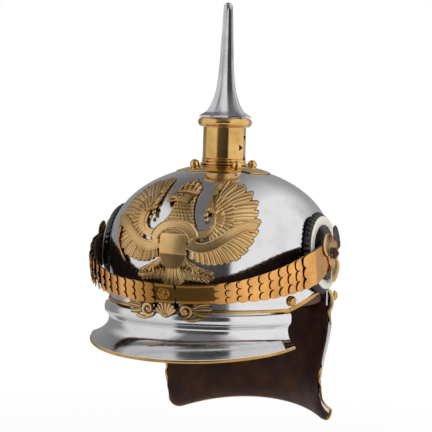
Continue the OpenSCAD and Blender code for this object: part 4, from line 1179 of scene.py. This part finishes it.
def band(spine, wide, top, side=1, fade=0.0):
    """A plain ribbon with a raised border along both edges; it rolls under at its end."""
    rows = []
    for u in spaced(0, 1, 56):
        x, z, across_x, across_z = station(spine, u, 0.01)
        roll = half_round(max(u - 0.95, 0) / 0.05)
        row = []
        for v in SPAN:
            border, groove = hump(abs(v) - 0.86, 0.07), hump(abs(v) - 0.7, 0.06)
            edge = soft(0, 0.06, 1 - abs(v))
            h = UNDER + (top + 0.35 * border - 0.2 * soft(0.6, 0, abs(v))) * edge * mix(0.6, 1, roll)
            # Painted shade and highlight: the border lighter, the groove inside it and the edges darker, and
            # the whole ribbon darker by fade except where it rolls under.
            shade = edge * (0.5 + 0.45 * border - 0.3 * groove) * mix(1 - fade, 1, roll)
            row.append((x + across_x * wide * v, z + across_z * wide * v, h, clamp(shade)))
        rows.append(row)
    lay(rows, side)


def pearl(x, z, r, low, side=1):
    """A half ball, in rings from its top down to the plate."""
    # Painted highlight and shade: the ball is painted light on top and dark where it meets the plate.
    lay([[(x + r * sin(q) * cos(t), z + r * sin(q) * sin(t), low + r * cos(q), 0.15 + 0.8 * cos(q))
          for t in range(0, 361, 36)] for q in (0.5, 20, 40, 60, 78, 90)], side)


def ground(middle, outline, h, shade, rings, side=1):
    """Plain metal between a middle and an outline, as the ground under a group of leaves."""
    # The ground takes one low shade value, so it is painted dark under the leaves, partly patina and partly
    # painted shade.
    lay([[(mix(middle[0], x, t), mix(middle[1], z, t), h, shade) for t in rings] for x, z in outline], side)

# %% [markdown]
# Each wing has eighteen long feathers over a plain ground, two tiers of short ones, a bare arm
# and a few curls and pearls where the plate is pierced.

# %% Wings
# Each feather: where it starts, where it ends, and half its width.
FEATHERS = [
    ((25, 95), (24.3, 110.3), 3.9), ((28, 95), (33.2, 107.8), 4.0), ((32, 93), (42, 104.6), 4.3),
    ((35, 90), (50.6, 97.9), 4.5), ((38, 86), (57.2, 90), 4.4), ((41, 81), (60, 82.6), 4.0),
    ((43, 76), (63.2, 74.6), 4.2), ((44, 71), (62.6, 65.8), 4.3), ((43, 66), (60, 58), 4.2),
    ((40, 62), (56.4, 51), 4.0), ((37, 60), (51.2, 45.3), 3.7), ((35, 58), (45.3, 43.2), 2.9),
    ((32.5, 57), (40, 41.8), 2.6), ((29.5, 56), (35, 40.8), 2.5), ((26.5, 55.5), (30.4, 40.7), 2.5),
    ((23.5, 55), (26, 41.2), 2.5), ((20.2, 55), (21.2, 42.8), 2.5), ((17, 54), (16.3, 45), 2.5)]
ALONG = (0, 0.2, 0.4, 0.6, 0.8, 0.93)
ARM = [(24, 98), (27.5, 91), (29.6, 85), (31.4, 79), (31.6, 73), (27, 66.8), (20, 65.4), (14, 66.5)]
WING_PEARLS = ((23.8, 86.6, 1.9), (23.6, 82.4, 2.1), (25.2, 78.4, 1.8), (30.8, 84.9, 2.5), (35.2, 84.0, 1.9))


def round_wrist(r, q, z=78):
    """Point at distance r and angle q from the wrist, round which the short feathers fan out."""
    return 25 + r * cos(q), z + r * sin(q)


def tier(count, first, last, inner, outer, swing, wide, top, side, **form):
    """A fan of short feathers, every other one a little higher."""
    for k, q in enumerate(spaced(first, last, count - 1)):
        feather = [round_wrist(inner, q), round_wrist(outer, q - swing, 77.5)]
        leaf(feather, wide, top + 0.2 * (k % 2), side, **form)


for side in (1, -1):
    # Plain ground under the long feathers, painted dark under them, partly patina and partly painted shade.
    lay([[(mix(root[0], tip[0], t), mix(root[1], tip[1], t), 0.25, 0.1) for t in ALONG]
         for root, tip, wide in FEATHERS], side)
    for k, (root, tip, wide) in enumerate(FEATHERS):
        lean = (tip[0] - root[0]) * 0.06 * (1 if root[1] > 75 else -1)
        middle = ((root[0] + tip[0]) / 2 - lean, (root[1] + tip[1]) / 2 + abs(lean))
        top = 0.75 + 0.25 * (k % 2)
        leaf([root, middle, tip], 1.06 * wide, top, side, ridges=3, tilt=-0.35, root=0.75, long=18)
    tier(15, 93, -62, 8, 20.5, 3, 2.5, 1.5, side, ridges=2, tilt=-0.3)
    tier(13, 88, -50, 6, 14, 4, 2.1, 2.1, side, ridges=1, tilt=-0.25)
    leaf(ARM, 3.7, 2.3, side, blunt=0.97, long=40)
    leaf([(x + 0.2, z) for x, z in ARM[1:]], 1.0, 2.9, side, root=0.6, blunt=0.97, long=36)
    patch = [(17 + 5.6 * cos(q), 62 + 5.6 * sin(q)) for q in range(180, -181, -20)]
    ground((17, 62), patch, 0.9, 0.2, [r / 5.6 for r in (0.1, 2, 4, 5.6)], side)
    for k in range(5):
        bend, tip = (24.4 - 0.3 * k, 90.5 + 3.2 * k), (23.2 - 0.2 * k, 94.5 + 3.2 * k)
        leaf([(28.4 - 0.4 * k, 88 + 3.4 * k), bend, tip], 2.0, 2.2, side, long=12)
    for x, z, r in WING_PEARLS:
        pearl(x, z, r, 2.0, side)
print("wings drawn,", len(STAMP["points"]), "points so far")

# %% [markdown]
# The breast is one sheet of small overlapping feathers. Head, beak, brow and eye are laid on it,
# and the crown is five arches strung with pearls over a ring.

# %% Body
FEATHER_H, FEATHER_W = 2.7, 2.9
BREAST_LEFT = [(60, -18), (70, -17), (76, -12.5), (82, -9), (90, -8), (96, -9), (100, -7)]
BREAST_RIGHT = [(60, 19), (70, 18.3), (80, 13.8), (89, 11.2), (96, 10.3), (100, 9)]


def body_row(z):
    """The breast from edge to edge at a height."""
    left, right = through(BREAST_LEFT, z), through(BREAST_RIGHT, z)
    course = math.floor(z / FEATHER_H)
    row = []
    for t in spaced(1, 0, 48):
        v, x = mix(-1, 1, t), mix(left, right, t)
        inside = ((x / FEATHER_W + 0.5 * (course % 2)) % 1 - 0.5) * 2
        hang = (z / FEATHER_H - course - 0.34 * inside * inside) % 1
        h = UNDER + (2.0 * half_round(v) + 0.9 + 0.5 * (1 - hang)) * soft(0, 0.1, 1 - abs(v))
        # Painted shade: each small feather is painted darker where it runs under the course above, and the
        # breast darker at its edges where it meets the plate.
        row.append((x, z, h, clamp((0.92 - 0.75 * hang**0.7) * soft(0, 0.16, 1 - abs(v)))))
    return row


lay([body_row(z) for z in spaced(60, 100, 100)])

# %% Head and crown
leaf([(7, 93), (0, 95.6), (-7.5, 95.3)], 4.4, 3.3, root=0.8, blunt=0.6)
leaf([(-5, 96.2), (-10.6, 96), (-12.9, 93.4), (-12.3, 90.9)], 2.3, 3.2, root=1.1, ridges=1, blunt=0.3)
leaf([(-4.5, 93.4), (-9.5, 92.6), (-11, 91.6)], 1.2, 2.8)
leaf([(-1, 97.8), (-4, 98.4), (-7.5, 97.2)], 0.9, 4.2)
pearl(-4.6, 95.9, 1.0, 3.4)
leaf([(-8.2, 99.6), (1, 100.6), (10.2, 99.4)], 1.5, 3.9, root=0.9, ridges=2, blunt=0.95)
leaf([(1, 99), (1, 103), (1, 108.4)], 8.6, 2.2, root=0.9, blunt=0.3, dark=0.3)
for k, q in enumerate(spaced(140, 40, 4)):
    foot, tip = (1 + 3.7 * (k - 2), 100.5), (1 + 10.4 * cos(q), 98.6 + 8.8 * sin(q))
    bend = (mix(foot[0], tip[0], 0.9), mix(foot[1], tip[1], 0.5))
    leaf([foot, bend, tip], 1.15, 3.1, long=12)
    pearl(tip[0], tip[1], 1.2, 2.9)
    for t in (0.3, 0.52, 0.74):
        x, z = curve([foot, bend, tip], t)
        pearl(x, z, 0.7, 3.7)
    if k < 4:
        pearl(1 + 7.6 * cos(q - 12.5), 98.8 + 7.2 * sin(q - 12.5), 0.85, 2.9)
leaf([(1, 106.4), (1, 108), (1, 110)], 0.8, 3.0, root=1, long=8)
leaf([(-0.8, 108.6), (1, 108.6), (2.8, 108.6)], 0.7, 3.0, root=1, long=8)
for k in range(7):
    pearl(-6.6 + 2.55 * k, 100.2 + 0.5 * sin(30 * k), 0.75, 4.1)

# %% [markdown]
# The shield has a bare upper field and a lined lower one, and the ribbons are plain, with a
# raised border. Claws hold a bunch of leaves on each side of the tail.

# %% Shield
SHIELD_HALF, FIELD_Z = 12.7, 49.6


def shield_row(z):
    half = SHIELD_HALF * (1 if z > 50.5 else math.sqrt(max(1 - ((50.5 - z) / 14.2) ** 2, 0.002)))
    row = []
    for v in spaced(1, -1, 36):
        rim = max(soft(0.88, 0.95, abs(v)), soft(65.2, 65.8, z), hump(z - FIELD_Z, 0.5))
        lines = 0.0 if z > FIELD_Z else 0.5 + 0.5 * math.sin((z + 0.55 * v * half) * 4.2)
        edge = soft(0, 0.07, 1 - abs(v)) * soft(0, 0.5, 66.6 - z) * soft(0, 0.6, z - 36.5)
        h = UNDER + (3.2 + 0.9 * (1 - v * v) + 0.45 * rim + 0.25 * lines) * edge
        # The lined lower field is painted dark, darkest between its lines, partly patina and partly painted
        # shade, and the rims are painted lighter.
        tone = 0.62 if z > FIELD_Z else 0.08 + 0.22 * lines
        row.append((v * half, z, h, clamp(max(tone, 0.85 * rim) * edge)))
    return row

# %% Ribbons, claws and leaves
RIBBON = [(13, 58), (20, 55.4), (26, 55.2), (33.5, 57.8), (41, 63), (47, 68), (52.5, 72), (58, 73.8),
          (62.5, 72.6)]
OVER_SHIELD = [(-17.5, 62.5), (-15.8, 66.5), (-12.5, 70.2), (-7.5, 73), (0, 74.1), (7.5, 73), (12.5, 70.2),
               (15.8, 66.5), (17.5, 62.5)]
BUNCH = [(13.5, 43), (21, 40.6), (28.4, 36.6), (31, 30.5), (30, 28.4), (21, 26), (9.5, 25.4), (7, 28),
         (7, 34.5), (10.5, 40), (13.5, 43)]
for side in (1, -1):
    band(RIBBON, 4.5, 2.9, side, fade=0.5)
    leaf([(18.2, 65.5), (17.6, 61.5), (13.6, 58.2)], 2.4, 3.2, side)
    ground((17, 34), BUNCH, 0.7, 0.15, (0.02, 0.3, 0.6, 0.9), side)
    leaf([(8, 47), (13, 42.5), (17.5, 38.8)], 2.5, 2.6, side, ridges=2)
    for toe in ((23.5, 37.6), (22.2, 33.2), (17.6, 32.2)):
        leaf([(17, 39.2), ((17 + toe[0]) / 2 + 0.7, (39 + toe[1]) / 2 + 1), toe], 1.2, 2.7, side, long=10)
    for k, t in enumerate(spaced(0, 1, 5)):
        x, z, higher = mix(8, 26, t), mix(37.5, 33, t), 0.2 * (k % 2)
        upper = [(x, z), (x + 3.4, z + mix(4.4, 1.6, t)), (x + mix(8, 7, t), z + mix(4.2, -0.4, t))]
        lower = [(x, z), (x + 1.6, z - 4), (x + mix(2.2, 4.6, t), z - mix(10, 6, t))]
        outer = [(x - 1, z - 1), (x + 4, z - 3.2), (x + mix(7.5, 8, t), z - mix(6, 2.5, t))]
        leaf(upper, 1.9, 1.7 + higher, side, ridges=2, tilt=0.25)
        leaf(lower, 2.0, 1.4 + higher, side, ridges=2, tilt=-0.25)
        leaf(outer, 1.7, 1.9, side, ridges=2)
        pearl(x + 3, z - 1.2, 0.9, 2.0, side)
for k, q in enumerate(spaced(-128, -52, 8)):
    leaf([(1.1 * (k - 4), 42), (10 * cos(q), 36 + 5 * sin(q)), (15 * cos(q), 39 + 17 * sin(q))],
         2.1, 1.5 + 0.25 * (k % 2), ridges=3, root=0.8)
band(OVER_SHIELD, 4.3, 3.9)
for q in spaced(160, 20, 10):
    leaf([(5 * cos(q), 64 + 2.6 * sin(q)), (10.6 * cos(q), 64 + 6.2 * sin(q))], 1.1, 3.0, dark=0.2, long=8)
lay([shield_row(z) for z in spaced(36.3, 66.7, 90)])
leaf([(-50, 39), (-56, 47), (-60, 57), (-58.5, 66)], 1.1, 2.3, root=0.9, blunt=0.95, long=24)
for x, z, r in ((-59.2, 60, 1.5), (-58.6, 66.4, 1.8), (-57.6, 70, 1.3)):
    pearl(x, z, r, 1.9)
done(struck("eagle_stamped", lambda x, z, h: face(x, z, 0.6 + h)), "gilt", "front_eagle", angle=48)

# %% [markdown]
# ## Ornament over the joint
# A small shell between two scrolls covers the joint of skull and peak.

# %% Shell and scrolls
SHELL_X, BAND_R = -4.5, HALF_W + 4.4


def on_band(x, z, h):
    return plan(math.degrees(math.asin(clamp(x / BAND_R, -1, 1))), z, 4.5 + h)


def spiral(cx, cz, side):
    """A scroll that winds in from 6.6 to 1.4 mm in a little more than a turn."""
    spine = []
    for u in spaced(0, 1, 24):
        r, q = mix(6.6, 1.4, u), 200 + 486 * u
        spine.append((cx + side * r * cos(q), cz + r * sin(q)))
    leaf(spine[::side], 2.1, 1.5, root=0.6 if side > 0 else 1, ridges=1, blunt=0.93, long=60)
    pearl(cx, cz, 2.0, 1.2)


for q in spaced(20, 160, 6):
    leaf([(SHELL_X + 1.5 * cos(q), -3.4), (SHELL_X + 9.4 * cos(q), 0.2 + 9.2 * sin(q))], 2.1, 1.7, ridges=1)
pearl(SHELL_X, -2.4, 2.2, 1.2)
for side, cx in ((1, 12.8), (-1, -21.8)):
    spiral(cx, 2.2, side)
    for dx, dz in ((20, 6.5), (21.5, 2.2), (19, -3.2)):
        spine = [(cx + side * 5, 2.4), (cx + side * dx * 0.55, 2 + dz * 0.8), (cx + side * dx, 2 + dz)]
        leaf(spine, 2.4, 1.3, ridges=2)
    leaf([(cx - side * 3, -4.4), (cx + side * 5, -5.6), (cx + side * 13, -3.6)], 1.9, 1.2, ridges=1)
# The ornament's shade values are scaled by 0.6, so it is drawn darker all over.
done(struck("front_ornament", on_band, worn=0.6), "gilt", "front_scroll", angle=48)

# %% [markdown]
# ## Studio
# The helmet stands in a white room with one broad soft window on the right, a weaker one on the
# left, and the dark end of the room behind the camera, which the polished steel shows. The
# floor is pale and keeps the soft shadow.

# %% Camera
AZ, EL, ROLL, FAR = 20.9, 3.3, 1.7, 1500.0
target = Vector((-5.9, 0.0, 75.4))
towards = Vector((sin(AZ) * cos(EL), -cos(AZ) * cos(EL), sin(EL)))
bpy.ops.object.camera_add(location=(target + towards * FAR) * MM)
camera = bpy.context.object
camera.rotation_mode = "QUATERNION"
camera.rotation_quaternion = (-towards).to_track_quat("-Z", "Y") @ Quaternion((0, 0, 1), math.radians(ROLL))
camera.data.lens = 140
camera.data.sensor_width = 36
bpy.context.scene.camera = camera
bpy.context.scene.view_settings.view_transform = "Standard"

# %% Room that the metal reflects
world = bpy.data.worlds.new("studio")
bpy.context.scene.world = world
world.use_nodes = True
tree = world.node_tree
rays = add(tree, "ShaderNodeLightPath").outputs
look = add(tree, "ShaderNodeTexCoord").outputs["Generated"]
ahead, right = (
    add(tree, "ShaderNodeVectorMath", {0: look, 1: along}, operation="DOT_PRODUCT").outputs["Value"]
    for along in ((sin(AZ), -cos(AZ), 0), (cos(AZ), sin(AZ), 0)))
around = ranged(tree, reckon(tree, "ARCTAN2", right, ahead), -math.pi, math.pi)
walls = add(tree, "ShaderNodeValToRGB", {"Fac": around})
# Brightness of the walls by the angle from the camera's side, in degrees to the right.
WALLS = [(-180, 0.3), (-125, 0.3), (-112, 0.8), (-44, 0.9), (-36, 0.12), (12, 0.05), (21, 0.07), (23, 1.0),
         (118, 1.0), (130, 0.55), (180, 0.3)]
stops = walls.color_ramp.elements
stops[0].position, stops[1].position = 0.0, 1.0
for degrees, level in WALLS[1:-1]:
    stops.new(degrees / 360 + 0.5)
for stop, (degrees, level) in zip(sorted(stops, key=lambda e: e.position), WALLS):
    stop.color = (level, level, level, 1)
height = add(tree, "ShaderNodeSeparateXYZ", {"Vector": look}).outputs["Z"]
roof = ranged(tree, height, 0.3, 0.65)
over_right, over_left = ranged(tree, right, 0.08, 0.46), ranged(tree, right, -0.38, -0.56)
ceiling = blended(tree, over_right, (0.19, 0.186, 0.19, 1), (1, 1, 1, 1))
ceiling = blended(tree, over_left, ceiling, (0.85, 0.85, 0.87, 1))
room = blended(tree, roof, walls.outputs["Color"], ceiling)
mirror = reckon(tree, "MAXIMUM", rays["Is Glossy Ray"], rays["Is Transmission Ray"])
seen = blended(tree, mirror, (0.62, 0.62, 0.63, 1), room)
seen = blended(tree, rays["Is Camera Ray"], seen, (1, 1, 1, 1))
feed(tree, tree.nodes["Background"], {"Color": seen})

# %% Soft lamps
def lamp(name, angle, height, far, size, power):
    spot = target + Vector((sin(AZ + angle) * far, -cos(AZ + angle) * far, height))
    bpy.ops.object.light_add(type="AREA", location=spot * MM)
    light = bpy.context.object
    light.name = name
    light.rotation_mode = "QUATERNION"
    light.rotation_quaternion = (target - spot).to_track_quat("-Z", "Y")
    light.data.size = size * MM
    light.data.energy = power
    light.visible_glossy = False


lamp("window_right", 65, 500, 1100, 900, 9.0)
lamp("window_left", -75, 350, 1200, 900, 3.0)
lamp("ceiling", 0, 1100, 300, 900, 5.0)

# %% Floor
FLOOR_WIDE, FLOOR_Z = 1700, -205
deselect()
bpy.ops.mesh.primitive_plane_add(size=FLOOR_WIDE * MM, location=(0, 0, FLOOR_Z * MM))
floor = bpy.context.object
floor.name = "studio_floor"
pale, tree, shader = blank("pale_floor")
feed(tree, shader, {"Base Color": colour("#DCDCDC"), "Roughness": 0.9})
away = add(tree, "ShaderNodeVectorMath", {0: position(tree)}, operation="LENGTH").outputs["Value"]
by_eye = add(tree, "ShaderNodeLightPath").outputs["Is Camera Ray"]
whiter = reckon(tree, "MULTIPLY", ranged(tree, away, 0.15, 0.75, 0.8, 1.0), by_eye)
white = add(tree, "ShaderNodeEmission").outputs["Emission"]
both = add(tree, "ShaderNodeMixShader", {0: whiter, 1: shader.outputs["BSDF"], 2: white})
feed(tree, tree.nodes["Material Output"], {"Surface": both.outputs["Shader"]})
floor.data.materials.append(pale)
